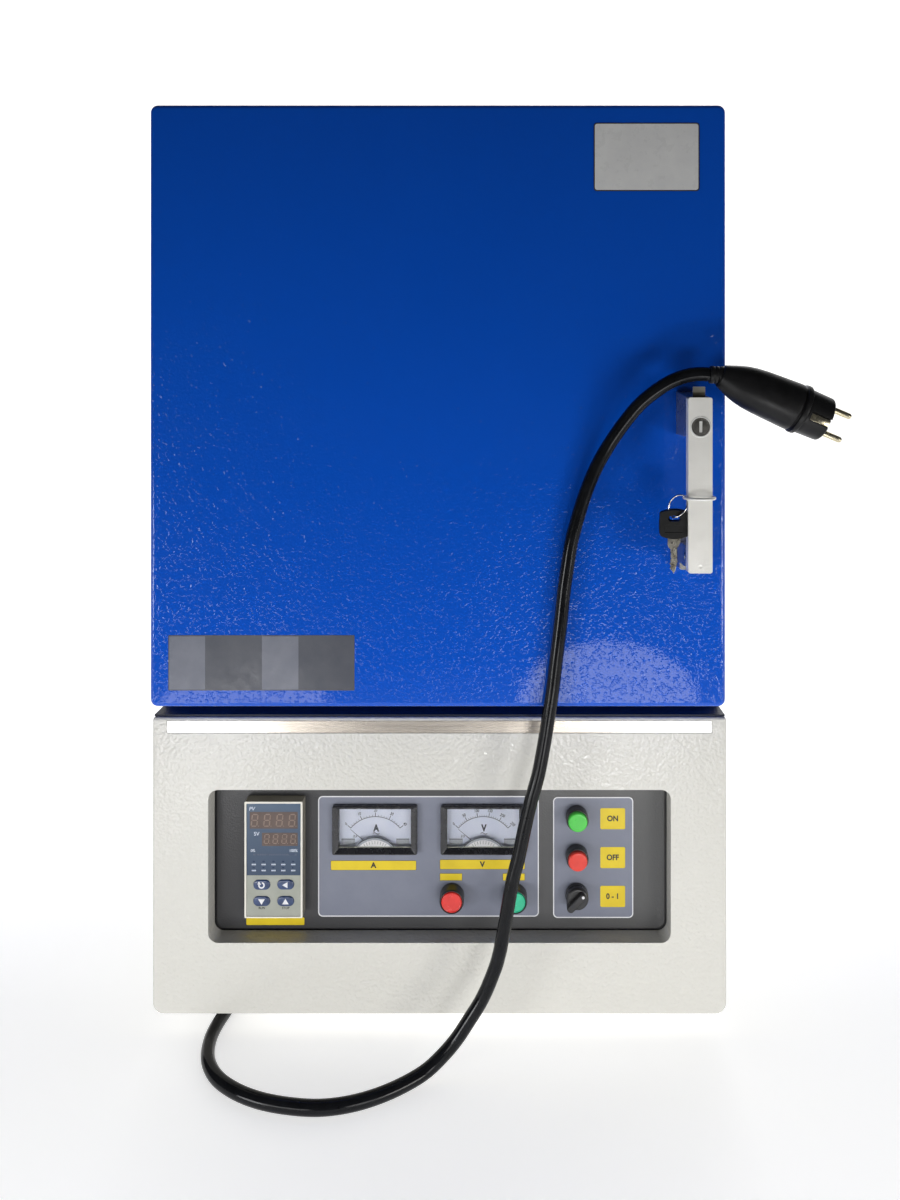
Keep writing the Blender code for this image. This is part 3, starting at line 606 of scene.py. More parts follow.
# jacket: black PVC, satin with a soft gloss
CORD_BLACK = new_material("cord_black", (0.0045, 0.0048, 0.0058), 0.12, Specular_IOR_Level=0.2)
t, s = parts_of(CORD_BLACK)
vary(CORD_BLACK, (0.009, 0.0095, 0.011), scale=90, amount=0.8)
vary_rough(CORD_BLACK, 0.09, 0.17, scale=120)
bump(t, s, [(noise(t, 900, 2, 0.5), 0.12, 0.0002), (noise(t, 45, 2, 0.5), 0.1, 0.0006)])

line = smooth_route([at(*p) for p in FLOOR_ROUTE + RISER_ROUTE], 0.0045)
cord = finish_mesh("mains_cord", tube_bm(line, CORD_R, sides=20), CORD_BLACK, None, smooth=60)
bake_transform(cord)
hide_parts("cord_floor", "cord_riser")

# plug: a moulded rubber two-pin earthed body on the riser's end
last = (at(*RISER_ROUTE[-1]) - at(*RISER_ROUTE[-2])).normalized()


def facing(point, direction):
    side_dir = Vector((0, 1, 0))
    up_dir = direction.cross(side_dir).normalized()
    side_dir = up_dir.cross(direction).normalized()
    return Matrix.Translation(at(*point)) @ Matrix(
        (
            (up_dir.x, side_dir.x, direction.x, 0),
            (up_dir.y, side_dir.y, direction.y, 0),
            (up_dir.z, side_dir.z, direction.z, 0),
            (0, 0, 0, 1),
        )
    )


PLUG_TILT = math.radians(23.0)
PLUG = facing((204.9, -61.8, 545.6), Vector((math.cos(PLUG_TILT), 0, -math.sin(PLUG_TILT))))
RUBBER = new_material("moulded_rubber", (0.006, 0.006, 0.0065), 0.36, Specular_IOR_Level=0.22)
t, s = parts_of(RUBBER)
vary(RUBBER, (0.013, 0.013, 0.014), scale=60, amount=0.9)
vary_rough(RUBBER, 0.3, 0.44, scale=90)
bump(t, s, [(noise(t, 1400, 3, 0.6), 0.25, 0.0002), (noise(t, 120, 2, 0.5), 0.12, 0.0006)])


def plug_point(u, v, w):
    return PLUG @ (Vector((u, v, w)) * MM)


shaft = [
    (0, 9.6), (7.6, 9.6), (8.3, 9.9), (8.9, 10.8), (9.8, 13.0), (11.4, 17.0), (13.2, 21.8), (14.7, 27), (15.9, 33), (16.7, 41),
    (17.2, 49.5), (17.6, 58), (18.0, 66), (18.1, 69.4), (17.9, 70.1), (17.1, 70.4), (17.0, 71.2), (17.3, 71.6), (18.5, 71.8),
    (18.95, 72.3), (19.0, 73.2), (19.0, 74.6), (18.9, 75.4), (18.4, 75.8), (16.6, 76.0), (0, 76.0),
]
sleeve = [
    (0, 0.3), (6.2, 0.3), (6.6, 0.6), (6.8, 1.4), (6.8, 3.0), (6.35, 3.4), (6.35, 4.0), (6.8, 4.4), (6.8, 6.2), (6.35, 6.6),
    (6.35, 7.2), (6.8, 7.6), (6.9, 9.4), (7.3, 16), (0, 16),
]
plug = finish_mesh("plug_shell", merge(turned_bm(rounded(shaft, 0.5, 2), PLUG, 72), turned_bm(rounded(sleeve, 0.3, 2), facing(RISER_ROUTE[-1], last), 56)), RUBBER, "door", smooth=40)
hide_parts("plug_body")

# the plug's nose: a cylinder with an earth slot on two sides, its clips and pins
nose = raw(turned_bm(rounded([(0, 75.8), (17.3, 75.8), (17.2, 79), (17.0, 86), (16.8, 93.4), (15.9, 94.5), (0, 94.6)], 0.8, 3), PLUG, 72))


def plug_box(u0, v0, w0, u1, v1, w1, bevel=None):
    bm = bmesh.new()
    bmesh.ops.create_cube(bm, size=1.0)
    lo, hi = Vector((u0, v0, w0)), Vector((u1, v1, w1))
    bmesh.ops.scale(bm, vec=(hi - lo) * MM, verts=bm.verts)
    if bevel:
        bmesh.ops.bevel(bm, geom=bm.edges[:], offset=bevel * MM, segments=2, profile=0.5, affect="EDGES")
    bmesh.ops.translate(bm, vec=(lo + hi) / 2 * MM, verts=bm.verts)
    bmesh.ops.transform(bm, matrix=PLUG, verts=bm.verts)
    return bm


EARTH_AT = -3.2  # the slots sit a little below the pins' line as the plug is turned
boolean(
    nose,
    [
        plug_box(EARTH_AT - 3.4, -22, 78.6, EARTH_AT + 3.4, -12.4, 102),
        plug_box(EARTH_AT - 3.4, 12.4, 78.6, EARTH_AT + 3.4, 22, 102),
        turned_bm([(0, 102), (3.4, 102), (3.4, 93.4), (0, 93.4)], PLUG @ Matrix.Translation((9.5 * MM, 0, 0)), 24),
        turned_bm([(0, 102), (3.4, 102), (3.4, 93.4), (0, 93.4)], PLUG @ Matrix.Translation((-9.5 * MM, 0, 0)), 24),
        turned_bm([(0, 102), (2.6, 102), (2.6, 87), (0, 87)], PLUG, 20),
    ],
)
adopt(nose, "plug_nose", RUBBER, "door", smooth=35, bevel=(0.25, 2, 35))

PIN_METAL = new_material("pin_nickel_brass", (0.72, 0.64, 0.42), 0.24, 1.0)
t, s = parts_of(PIN_METAL)
vary(PIN_METAL, (0.62, 0.58, 0.47), scale=160, amount=1.0)
vary_rough(PIN_METAL, 0.16, 0.34, scale=240)
bump(t, s, [(noise(t, 900, 3, 0.6, (1, 1, 1)), 0.08, 0.0001)])
pins = []
for du in (-9.5, 9.5):
    pins.append(
        turned_bm(
            rounded([(0, 88.6), (2.4, 88.6), (2.4, 110.1), (2.0, 111.3), (1.2, 112.0), (0, 112.2)], 0.4, 2),
            PLUG @ Matrix.Translation((du * MM, 0, 0)),
            28,
        )
    )
pins = finish_mesh("plug_contact_pins", merge(*pins), PIN_METAL, "door", smooth=40)
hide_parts("plug_pins")
clips = finish_mesh(
    "plug_earth_clips",
    merge(
        plug_box(EARTH_AT - 2.6, -15.4, 78.8, EARTH_AT + 2.6, -13.6, 94.0, 0.4),
        plug_box(EARTH_AT - 2.6, 13.6, 78.8, EARTH_AT + 2.6, 15.4, 94.0, 0.4),
    ),
    PIN_METAL, "door", smooth=40,
)

GLAND_X, GLAND_Z = -150.0, 118.0
gland_profile = [(0, 40), (6.2, 40), (6.6, 39.6), (6.8, 38.4)]
for i in range(6):  # flexing grooves down the taper
    h, r = 36.0 - i * 4.2, 7.0 + i * 0.42
    gland_profile += [(r, h), (r + 0.1, h - 2.4), (r - 0.9, h - 2.7), (r - 0.8, h - 3.6)]
gland_profile += [(9.5, 9.6), (9.6, 8.2), (12.3, 8.0), (13, 7.3), (13, 0.3), (8.4, 0.3), (8.4, -12), (0, -12)]
gland = finish_mesh(
    "cord_strain_relief", turned_bm(rounded(gland_profile, 0.35, 2), stand((GLAND_X, 520.0, GLAND_Z), "+y"), 40),
    RUBBER, "base", smooth=40,
)
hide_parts("cord_gland")

# ================================================================== materials
bpy.context.scene.view_settings.view_transform = "Standard"


def powder(name, rgb, rgb_b, rough, peel, coat, grain, sheen=0.05, spots=False):
    """Powder coat: a slow, faint tone drift, and a glossy skin with orange peel, or with sparse small pimples."""
    m = new_material(name, rgb, rough, Coat_Weight=coat, Coat_Roughness=sheen, Specular_IOR_Level=0.05 if spots else 0.18)
    t, s = parts_of(m)
    slow = remap(t, noise(t, 3.2, 2, 0.4), 0.3, 0.7, 0.0, 1.0)
    fine = remap(t, noise(t, grain * 1.2, 1.0, 0.4), 0.42, 0.62, 0.0, 0.12)
    t.links.new(mix(t, fine, mix(t, slow, rgb, rgb_b), tuple(c * 1.12 for c in rgb)), s.inputs["Base Color"])
    t.links.new(remap(t, noise(t, 24, 3, 0.5), 0.3, 0.7, rough - 0.05, rough + 0.07), s.inputs["Roughness"])
    dimples = noise(t, grain, 1.2, 0.4)
    if spots:
        pimples = remap(t, noise(t, grain * 0.62, 1.2, 0.5), 0.52, 0.64, 0.0, 1.0)
        bump(t, s, [(noise(t, 30, 2, 0.4), 0.1, 0.001), (dimples, 0.2, 0.0004)])
        bump(t, s, [(noise(t, 12, 2, 0.4), 0.04, 0.002), (dimples, 0.08, 0.0003), (pimples, 1.0, 0.00012)], "Coat Normal")
        return m
    bump(t, s, [(noise(t, 30, 2, 0.4), 0.2, 0.0015), (dimples, 0.8 * peel, 0.0009)])
    bump(t, s, [(noise(t, 30, 2, 0.4), 0.3, 0.0015), (dimples, peel, 0.0006)], "Coat Normal")
    return m


BLUE = powder("blue_powder_coat", (0.0, 0.077, 0.53), (0.0, 0.085, 0.58), 0.5, 0.75, 0.8, 560, 0.025, spots=True)
GREY = powder("grey_powder_coat", (0.64, 0.628, 0.582), (0.675, 0.664, 0.618), 0.5, 0.95, 0.8, 360, 0.09)
# the deck under the door's overhang is painted near black as painted shade
DECK_PAINTED_SHADE = powder("deck_painted_shade", (0.004, 0.007, 0.022), (0.006, 0.009, 0.026), 0.5, 0.4, 0.15, 430, 0.3)
PANEL = powder("panel_dark_coat", (0.052, 0.052, 0.055), (0.064, 0.064, 0.067), 0.46, 0.3, 0.3, 700, 0.25)

# the panel's colour is painted lighter towards the right: a painted reflection of the pale surroundings
t, s = parts_of(PANEL)
t.links.new(mix(t, remap(t, world_z(t, 0), -0.12, 0.18, 0.0, 1.0), (0.054, 0.054, 0.057), (0.1, 0.1, 0.101)), s.inputs["Base Color"])

STEEL = new_material("brushed_stainless", (0.62, 0.6, 0.56), 0.3, 1.0)
t, s = parts_of(STEEL)
vary(STEEL, (0.5, 0.47, 0.42), scale=30, amount=0.8)
vary_rough(STEEL, 0.22, 0.42, scale=60, stretch=(0.1, 1, 8))
bump(t, s, [(noise(t, 220, 4, 0.6, (0.03, 1, 9)), 0.18, 0.0002)])

# strip at the top of the base: brushed steel with painted reflections in its colour, brownish in the middle where the
# dark gap would mirror in it, near white towards the ends
STRIP = new_material("trim_stainless", (0.6, 0.57, 0.52), 0.26, 0.55)
t, s = parts_of(STRIP)
across = world_z(t, 0)
mid = remap(t, maths(t, "ABSOLUTE", across, 0.0), 0.12, 0.2, 0.0, 1.0)
painted_gap_reflection = mix(t, remap(t, noise(t, 14, 4, 0.6, (1, 1, 6)), 0.3, 0.7, 0.0, 1.0), (0.41, 0.365, 0.31), (0.5, 0.455, 0.395))
t.links.new(mix(t, mid, painted_gap_reflection, (0.95, 0.95, 0.93)), s.inputs["Base Color"])
vary_rough(STRIP, 0.2, 0.36, scale=40, stretch=(0.2, 1, 10))
bump(t, s, [(noise(t, 260, 4, 0.6, (0.02, 1, 10)), 0.2, 0.0002)])

ALLOY = new_material("satin_nickel_alloy", (0.66, 0.64, 0.6), 0.42, 0.75)
t, s = parts_of(ALLOY)
vary(ALLOY, (0.72, 0.7, 0.66), scale=18, amount=0.9)
vary_rough(ALLOY, 0.36, 0.5, scale=80, stretch=(1, 1, 0.3))
bump(t, s, [(noise(t, 1600, 2, 0.5), 0.12, 0.0001), (noise(t, 90, 3, 0.5, (1, 1, 0.15)), 0.05, 0.0003)])

OLIVE = new_material("olive_steel", (0.26, 0.24, 0.19), 0.4, 0.85)
t, s = parts_of(OLIVE)
# the tab is painted darker below 528.8 mm, just above the lever bar in front of it, as painted shade; lighter above
t.links.new(
    mix(t, remap(t, world_z(t), 0.5288, 0.5298, 0.0, 1.0), (0.17, 0.155, 0.12), (0.42, 0.4, 0.34)),
    s.inputs["Base Color"],
)
vary_rough(OLIVE, 0.32, 0.48, scale=200)
bump(t, s, [(noise(t, 800, 3, 0.5, (1, 1, 0.2)), 0.15, 0.0001)])

DARK_STEEL = new_material("dark_steel", (0.09, 0.086, 0.08), 0.42, 0.7)
t, s = parts_of(DARK_STEEL)
vary(DARK_STEEL, (0.13, 0.125, 0.115), scale=400, amount=1.0)
vary_rough(DARK_STEEL, 0.35, 0.5, scale=300)
bump(t, s, [(noise(t, 1500, 3, 0.6), 0.15, 0.0001)])

CHROME = new_material("bright_wire", (0.83, 0.82, 0.8), 0.14, 1.0)
t, s = parts_of(CHROME)
vary(CHROME, (0.7, 0.69, 0.67), scale=300, amount=0.6)
vary_rough(CHROME, 0.1, 0.22, scale=200)

BLACK = new_material("black_plastic", (0.012, 0.012, 0.013), 0.36, Coat_Weight=0.2, Coat_Roughness=0.2)
t, s = parts_of(BLACK)
vary(BLACK, (0.022, 0.022, 0.024), scale=150, amount=0.9)
vary_rough(BLACK, 0.3, 0.45, scale=200)
bump(t, s, [(noise(t, 1800, 2, 0.5), 0.15, 0.0001)])

CERAMIC = new_material("ceramic_fibre", (0.86, 0.84, 0.78), 0.95)
t, s = parts_of(CERAMIC)
vary(CERAMIC, (0.74, 0.7, 0.6), scale=28, amount=0.9, detail=6)
bump(t, s, [(noise(t, 160, 6, 0.65, (1, 1, 1), 0.6), 0.5, 0.0012), (noise(t, 1100, 4, 0.6), 0.35, 0.0003)])

HEARTH = new_material("hearth_ceramic", (0.7, 0.66, 0.56), 0.85)
t, s = parts_of(HEARTH)
vary(HEARTH, (0.52, 0.45, 0.35), scale=24, amount=0.9, detail=6)
bump(t, s, [(noise(t, 420, 4, 0.6), 0.3, 0.0005)])

HEATER = new_material("heater_alloy", (0.16, 0.145, 0.135), 0.62, 0.6)
t, s = parts_of(HEATER)
vary(HEATER, (0.27, 0.23, 0.19), scale=120, amount=1.0, detail=5)
vary_rough(HEATER, 0.5, 0.78, scale=200)
bump(t, s, [(noise(t, 1200, 4, 0.6), 0.35, 0.0003)])

CORE = new_material("core_laminate", (0.16, 0.16, 0.165), 0.55, 0.5)
t, s = parts_of(CORE)
vary(CORE, (0.1, 0.095, 0.09), scale=60, amount=1.0)
bump(t, s, [(noise(t, 200, 3, 0.6, (0.05, 12, 0.05)), 0.4, 0.0004)])

FOOT = new_material("foot_rubber", (0.02, 0.02, 0.021), 0.75)
t, s = parts_of(FOOT)
vary(FOOT, (0.05, 0.048, 0.045), scale=80, amount=0.8)
bump(t, s, [(noise(t, 900, 3, 0.6), 0.3, 0.0003)])

# ===================================================================== the door
door = raw(
    box_bm(
        (-228, -25, 280), (228, 26, 757),
        bevels=((along(1), 6, 6), (rim(1, -1), 4.2, 8)),
    )
)
boolean(door, [box_bm((-226, -23, 282), (226, 60, 755), bevels=((along(1), 4, 4),))])
adopt(door, "door_tray", BLUE, "door", replaces="door_skin", smooth=32, weighted=True)

LINER = new_material("liner_stainless", (0.58, 0.57, 0.54), 0.34, 1.0)
t, s = parts_of(LINER)
vary(LINER, (0.46, 0.43, 0.38), scale=14, amount=0.9, detail=5)
vary_rough(LINER, 0.26, 0.48, scale=50, stretch=(1, 1, 0.1))
bump(t, s, [(noise(t, 240, 4, 0.6, (6, 1, 0.04)), 0.15, 0.0002)])
liner = raw(box_bm((-225.6, 24.0, 282.4), (225.6, 25.7, 754.6), bevels=((along(1), 4, 4),)))
boolean(
    liner,
    [
        box_bm((-96, 0, 436), (96, 60, 588), bevels=((along(1), 3, 3),)),
        box_bm((193, 0, 438), (201.6, 60, 483), bevels=((along(1), 1.5, 3),)),
    ],
)
adopt(liner, "door_liner_sheet", LINER, "door", replaces="door_liner", smooth=32, bevel=(0.3, 2), weighted=True)

# rows of screws that hold the liner to the tray
heads = []
for x in (-214, -108, 0, 108, 214):
    for z in (294, 743):
        heads.append((x, z))
for z in (390, 520, 650):
    heads += [(-214, z), (214, z)]


def pan_head(x, y, z, axis, r=3.6, h=2.2):
    """A cross-recessed pan-head screw; y is the face it sits on."""
    o = raw(turned_bm(rounded([(0, h), (r * 0.6, h * 0.93), (r * 0.92, h * 0.6), (r, h * 0.2), (r, 0.05), (0, 0.05)], 0.3, 2), stand((x, y, z), axis), 20))
    return o


def screws(name, places, axis, mat, body, r=3.6, h=2.2):
    """places: (x, y, z) points on the face that the heads sit on."""
    made = []
    frame_turn = TURN[axis]
    for i, p in enumerate(places):
        o = pan_head(*p, axis, r, h)
        spin = Matrix.Rotation(math.radians(17 + 53 * i), 4, "Z")
        cross = []
        for q in (0, 90):
            bm = bmesh.new()
            bmesh.ops.create_cube(bm, size=1.0)
            bmesh.ops.scale(bm, vec=Vector((r * 1.15, r * 0.24, h)) * MM, verts=bm.verts)
            bmesh.ops.transform(
                bm,
                matrix=Matrix.Translation(at(*p)) @ frame_turn @ spin @ Matrix.Rotation(math.radians(q), 4, "Z") @ Matrix.Translation((0, 0, h * MM)),
                verts=bm.verts,
            )
            cross.append(bm)
        boolean(o, cross)
        made.append(o)
    bms = []
    for o in made:
        bm = bmesh.new()
        bm.from_mesh(o.data)
        bpy.data.objects.remove(o, do_unlink=True)
        bms.append(bm)
    return finish_mesh(name, merge(*bms), mat, body, smooth=35)


screws("door_liner_screws", [(x, 25.7, z) for x, z in heads], "+y", STEEL, "door")

# fibre plug: stepped face with a soft, slightly crumbled edge
plug_block = raw(box_bm((-220, -22.5, 285), (180, 23.6, 750)))
taper = box_bm((-95, 20, 437), (95, 66, 587))
for v in taper.verts:
    mid = at(0, 0, 512)
    if v.co.y > at(0, 50, 0).y:
        v.co.x = mid.x + (v.co.x - mid.x) * 90 / 95
        v.co.z = mid.z + (v.co.z - mid.z) * 140 / 150
boolean(plug_block, [taper], "UNION")
adopt(plug_block, "door_fibre_plug", CERAMIC, "door", replaces="door_insulation", smooth=32, bevel=(2.2, 4, 30), weighted=True)

# =============================================================== base and trim
front = raw(
    box_bm(
        (-235, 0, 20), (235, 22, 263),
        bevels=((along_low(1, 2, -1), 9, 8), (along_low(1, 2, 1), 2.4, 4), (rim(1, -1), 2.3, 6)),
    )
)
boolean(front, [box_bm((-232.5, 3, 22.5), (232.5, 40, 260.5), bevels=((along_low(1, 2, -1), 6.5, 4),))])
boolean(front, [box_bm((-191.2, 1.5, 76.8), (191.2, 17.5, 205.9), bevels=((along(1), 10, 8),))], "UNION")
boolean(
    front,
    [
        box_bm((-189.2, -8, 78.8), (189.2, 40, 203.9), bevels=((along(1), 8, 8),)),
        box_bm((-223.1, -3, 250.2), (223.1, 1.2, 260.6)),
    ],
)
adopt(front, "base_front_shell", GREY, "base", replaces="base_front_panel", smooth=32, bevel=(0.55, 3, 50), weighted=True)

strip = finish_mesh(
    "front_strip", box_bm((-222.8, 0.1, 250.5), (222.8, 0.9, 260.3), bevels=((rim(1, -1), 0.25, 3),)),
    STRIP, "base", replaces="front_trim_strip", weighted=True,
)
# near-black painted shade on the deck under the door
dress("deck_plate", DECK_PAINTED_SHADE)
dress("base_housing", GREY)
for n in ("foot_front_left", "foot_front_right", "foot_rear_left", "foot_rear_right"):
    lo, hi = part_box(n)
    cx, cy = (lo.x + hi.x) / 2 / MM, (lo.y + hi.y) / 2 / MM - Y_FRONT
    finish_mesh(
        n + "_moulded",
        turned_bm(
            rounded([(0, 19.7), (16, 19.7), (16, 17), (15.4, 16.4), (15.2, 14.5), (13.7, 2.0), (12.5, 0), (6, 0), (5, 1.6), (0, 1.6)], 0.7, 3),
            Matrix.Translation(at(cx, cy, 0)), 40,
        ),
        FOOT, "base", replaces=n, smooth=40,
    )

# ============================================================== control panel
METER_X = (-54.8, 35.6)
panel = raw(box_bm((-188.6, 17.8, 79.4), (188.6, 24.0, 203.3), bevels=((along(1), 7.4, 8), (rim(1, -1), 2.0, 5))))
boolean(panel, [box_bm((-193, 19.9, 74), (193, 21.4, 208))], "UNION")
boolean(panel, [box_bm((-240, 21.4, 40), (240, 60, 240))])
boolean(
    panel,
    [box_bm((-159.7, 0, 97.6), (-114.7, 40, 189.6))]
    + [box_bm((x - 31.5, 0, 143.8), (x + 31.5, 40, 183.6)) for x in METER_X]
    + [turned_bm([(0, 20), (7.8, 20), (7.8, -20), (0, -20)], stand((x, 17.8, z), "-y"), 32) for x, z in ((9.6, 108.2), (62, 108.2), (113.8, 174.2), (113.8, 141.8), (113.8, 109.2))],
)
adopt(panel, "panel_plate", PANEL, "base", replaces="control_panel", smooth=32)

FACE = 17.8  # the panel's front face


def ink(name, rgb, rgb_b, rough=0.42, grain=0.1):
    m = new_material(name, rgb, rough)
    t, s = parts_of(m)
    vary(m, rgb_b, scale=55, amount=0.9)
    vary_rough(m, rough - 0.07, rough + 0.08, scale=140)
    bump(t, s, [(noise(t, 1300, 2, 0.5), grain, 0.0001)])
    return m


FIELD = ink("field_grey_blue", (0.178, 0.192, 0.248), (0.196, 0.21, 0.266), 0.44, 0.16)
WHITE_INK = ink("white_ink", (0.8, 0.8, 0.82), (0.7, 0.7, 0.73))
BLACK_INK = ink("black_ink", (0.012, 0.012, 0.013), (0.03, 0.03, 0.032))
YELLOW_INK = ink("yellow_ink", (0.74, 0.56, 0.009), (0.68, 0.5, 0.008))
CREAM = ink("cream_label", (0.78, 0.78, 0.74), (0.7, 0.7, 0.66))


def px_x(px, y):
    return 41.3 + (px - 490) * (736 + y) / 900


def px_z(py, y):
    return 531 + (390 - py) * (736 + y) / 900


def printed(name, x0, x1, z0, z1, mat, r=1.0, depth=0.12, y=FACE, lift=0.0, body="base"):
    """A thin printed plate on a face at y, lifted off it by lift."""
    return finish_mesh(
        name, plate_bm(rounded_outline(x0, x1, z0, z1, r), y - lift - depth, y - lift + 0.02),
        mat, body, smooth=None,
    )


def outlined(name, x0, x1, z0, z1, mat, r, width, depth=0.16, y=FACE, lift=0.0, body="base"):
    return finish_mesh(
        name,
        plate_bm(rounded_outline(x0, x1, z0, z1, r), y - lift - depth, y - lift + 0.02,
                 hole=rounded_outline(x0 + width, x1 - width, z0 + width, z1 - width, max(r - width, 0.1))),
        mat, body, smooth=None,
    )


# two printed fields with white outlines
FIELDS = (
    ("field_left", px_x(318.2, FACE), px_x(538.8, FACE), px_z(916.5, FACE), px_z(796.0, FACE)),
    ("field_right", px_x(553.1, FACE), px_x(633.2, FACE), px_z(917.8, FACE), px_z(797.0, FACE)),
)
for name, x0, x1, z0, z1 in FIELDS:
    field = raw(plate_bm(rounded_outline(x0 + 0.4, x1 - 0.4, z0 + 0.4, z1 - 0.4, 3.4), FACE - 0.1, FACE + 0.02))
    if x0 < METER_X[0] < x1:
        boolean(field, [box_bm((x - 31.5, 10, 143.8), (x + 31.5, 26, 183.6)) for x in METER_X])
    adopt(field, name, FIELD, "base", smooth=None)
    outlined(name + "_outline", x0, x1, z0, z1, WHITE_INK, 3.8, 0.85, 0.16)


def label(name, p0, q0, p1, q1, mat=YELLOW_INK, r=0.9, lift=0.1, edge=True):
    """A printed label between two pixels of the front view, with a fine dark edge under it."""
    x0, x1, z0, z1 = px_x(p0, FACE), px_x(p1, FACE), px_z(q1, FACE), px_z(q0, FACE)
    if edge:
        printed(name + "_edge", x0 - 0.25, x1 + 0.25, z0 - 0.25, z1 + 0.25, BLACK_INK, r + 0.2, 0.06, lift=lift)
    printed(name, x0, x1, z0, z1, mat, r, 0.1, lift=lift + 0.03)
    return (x0 + x1) / 2, (z0 + z1) / 2


cx, cz = label("label_current", 331, 860.7, 416.1, 869.9)
text_mesh("label_current_mark", "A", 6.2, (cx, FACE - 0.3, cz), BLACK_INK, "base", bold=0.25)
cx, cz = label("label_voltage", 440.1, 859.7, 524.6, 869.0)
text_mesh("label_voltage_mark", "V", 6.2, (cx, FACE - 0.3, cz), BLACK_INK, "base", bold=0.25)
cx, cz = label("label_fault_lamp", 440.1, 873.5, 462.0, 880.2, r=0.3)
cx, cz = label("label_run_lamp", 503.0, 873.5, 524.6, 880.2, r=0.3)
cx, cz = label("label_controller", 246.4, 917.4, 304.4, 924.9, lift=0.0)
for name, q0, q1, words in (("label_on", 808.1, 829.1, "ON"), ("label_off", 847.0, 868.0, "OFF"), ("label_selector", 885.7, 906.9, "0 - 1")):
    cx, cz = label(name, 600.3, q0, 625.1, q1, r=1.3, edge=False)
    text_mesh(name + "_mark", words, 6.4, (cx, FACE - 0.3, cz), BLACK_INK, "base", stretch=0.92, bold=0.2)

# ======================================================== temperature controller
# the controller's shell is painted a dark brownish grey all over: a painted shade taken from its shaded top side; the
# moulding itself is cream
SHADED_SHELL = new_material("controller_shell_painted_shade", (0.22, 0.205, 0.17), 0.45)
t, s = parts_of(SHADED_SHELL)
vary(SHADED_SHELL, (0.27, 0.255, 0.215), scale=30, amount=0.9)
bump(t, s, [(noise(t, 1500, 2, 0.5), 0.12, 0.0001)])
RIM_CREAM = ink("controller_rim", (0.74, 0.71, 0.63), (0.8, 0.78, 0.71), 0.35, 0.06)

BLUE_FACE = new_material("controller_blue_face", (0.03, 0.07, 0.125), 0.28, Coat_Weight=0.4, Coat_Roughness=0.12)
t, s = parts_of(BLUE_FACE)
down = remap(t, world_z(t), 0.1307, 0.190, 0.0, 1.0)
tone = mix(t, down, (0.016, 0.041, 0.09), (0.044, 0.086, 0.152))
t.links.new(mix(t, remap(t, noise(t, 30, 3), 0.3, 0.7, 0.0, 0.25), tone, (0.028, 0.062, 0.118)), s.inputs["Base Color"])
bump(t, s, [(noise(t, 900, 2, 0.5), 0.05, 0.0001)])
GREY_FACE = ink("controller_grey_face", (0.31, 0.325, 0.28), (0.36, 0.37, 0.325), 0.42, 0.14)
BROWN_GLASS = new_material("display_window", (0.075, 0.045, 0.035), 0.16, Coat_Weight=0.6, Coat_Roughness=0.06)
t, s = parts_of(BROWN_GLASS)
vary(BROWN_GLASS, (0.1, 0.062, 0.048), scale=70, amount=0.9)
SEGMENT = ink("unlit_segment", (0.2, 0.14, 0.11), (0.24, 0.165, 0.13), 0.3, 0.03)
NAVY = new_material("key_navy", (0.014, 0.032, 0.095), 0.3, Coat_Weight=0.35, Coat_Roughness=0.15)
t, s = parts_of(NAVY)
vary(NAVY, (0.04, 0.075, 0.19), scale=160, amount=0.9)
bump(t, s, [(noise(t, 1600, 2, 0.5), 0.1, 0.0001)])
LED_DOT = ink("led_dot", (0.012, 0.03, 0.075), (0.02, 0.04, 0.09), 0.25, 0.03)

C = 742 / 900  # mm for each pixel of the front view, on the controller's face


def cx_of(px):
    return 41.3 + (px - 490) * C


def cz_of(py):
    return 531 + (390 - py) * C


bezel = raw(box_bm((-161.2, 6.0, 95.6), (-113.2, 17.5, 191.6), bevels=((along(1), 0.9, 3),)))
boolean(bezel, [box_bm((-159.5, 0, 96.9), (-114.9, 6.8, 189.9), bevels=((along(1), 0.4, 2),))])
boolean(bezel, [box_bm((-159.4, 12, 97.9), (-115.0, 105, 189.3), bevels=((along(1), 1.5, 3),))], "UNION")
adopt(bezel, "controller_bezel", SHADED_SHELL, "base", replaces="controller_case", smooth=32, bevel=(0.22, 2, 50), weighted=True)
# the rim's front edge: a paler moulded lip in the controller's own cream, lighter still as a painted highlight where
# the edge catches the light
finish_mesh(
    "controller_lip",
    plate_bm(rounded_outline(-161.1, -113.3, 95.7, 191.5, 0.8), 5.9, 6.1, hole=rounded_outline(-159.6, -114.8, 96.8, 190.0, 0.3)),
    RIM_CREAM, "base", smooth=None,
)
SPLIT = cz_of(875.6)
finish_mesh("controller_face_upper", plate_bm(rounded_outline(-159.45, -114.95, SPLIT, 189.85, 0.3), 6.45, 6.85), BLUE_FACE, "base", smooth=None)
finish_mesh("controller_face_lower", plate_bm(rounded_outline(-159.45, -114.95, 96.95, SPLIT - 0.02, 0.3), 6.45, 6.85), GREY_FACE, "base", smooth=None)
WIN_PV = (cx_of(249.6), cx_of(297.6), cz_of(828.9), cz_of(812.2))
WIN_SV = (cx_of(261.8), cx_of(297.6), cz_of(846.2), cz_of(833.0))
for name, w in (("display_pv", WIN_PV), ("display_sv", WIN_SV)):
    finish_mesh(name, plate_bm(rounded_outline(*w, 0.4), 6.38, 6.5), BROWN_GLASS, "base", smooth=None)


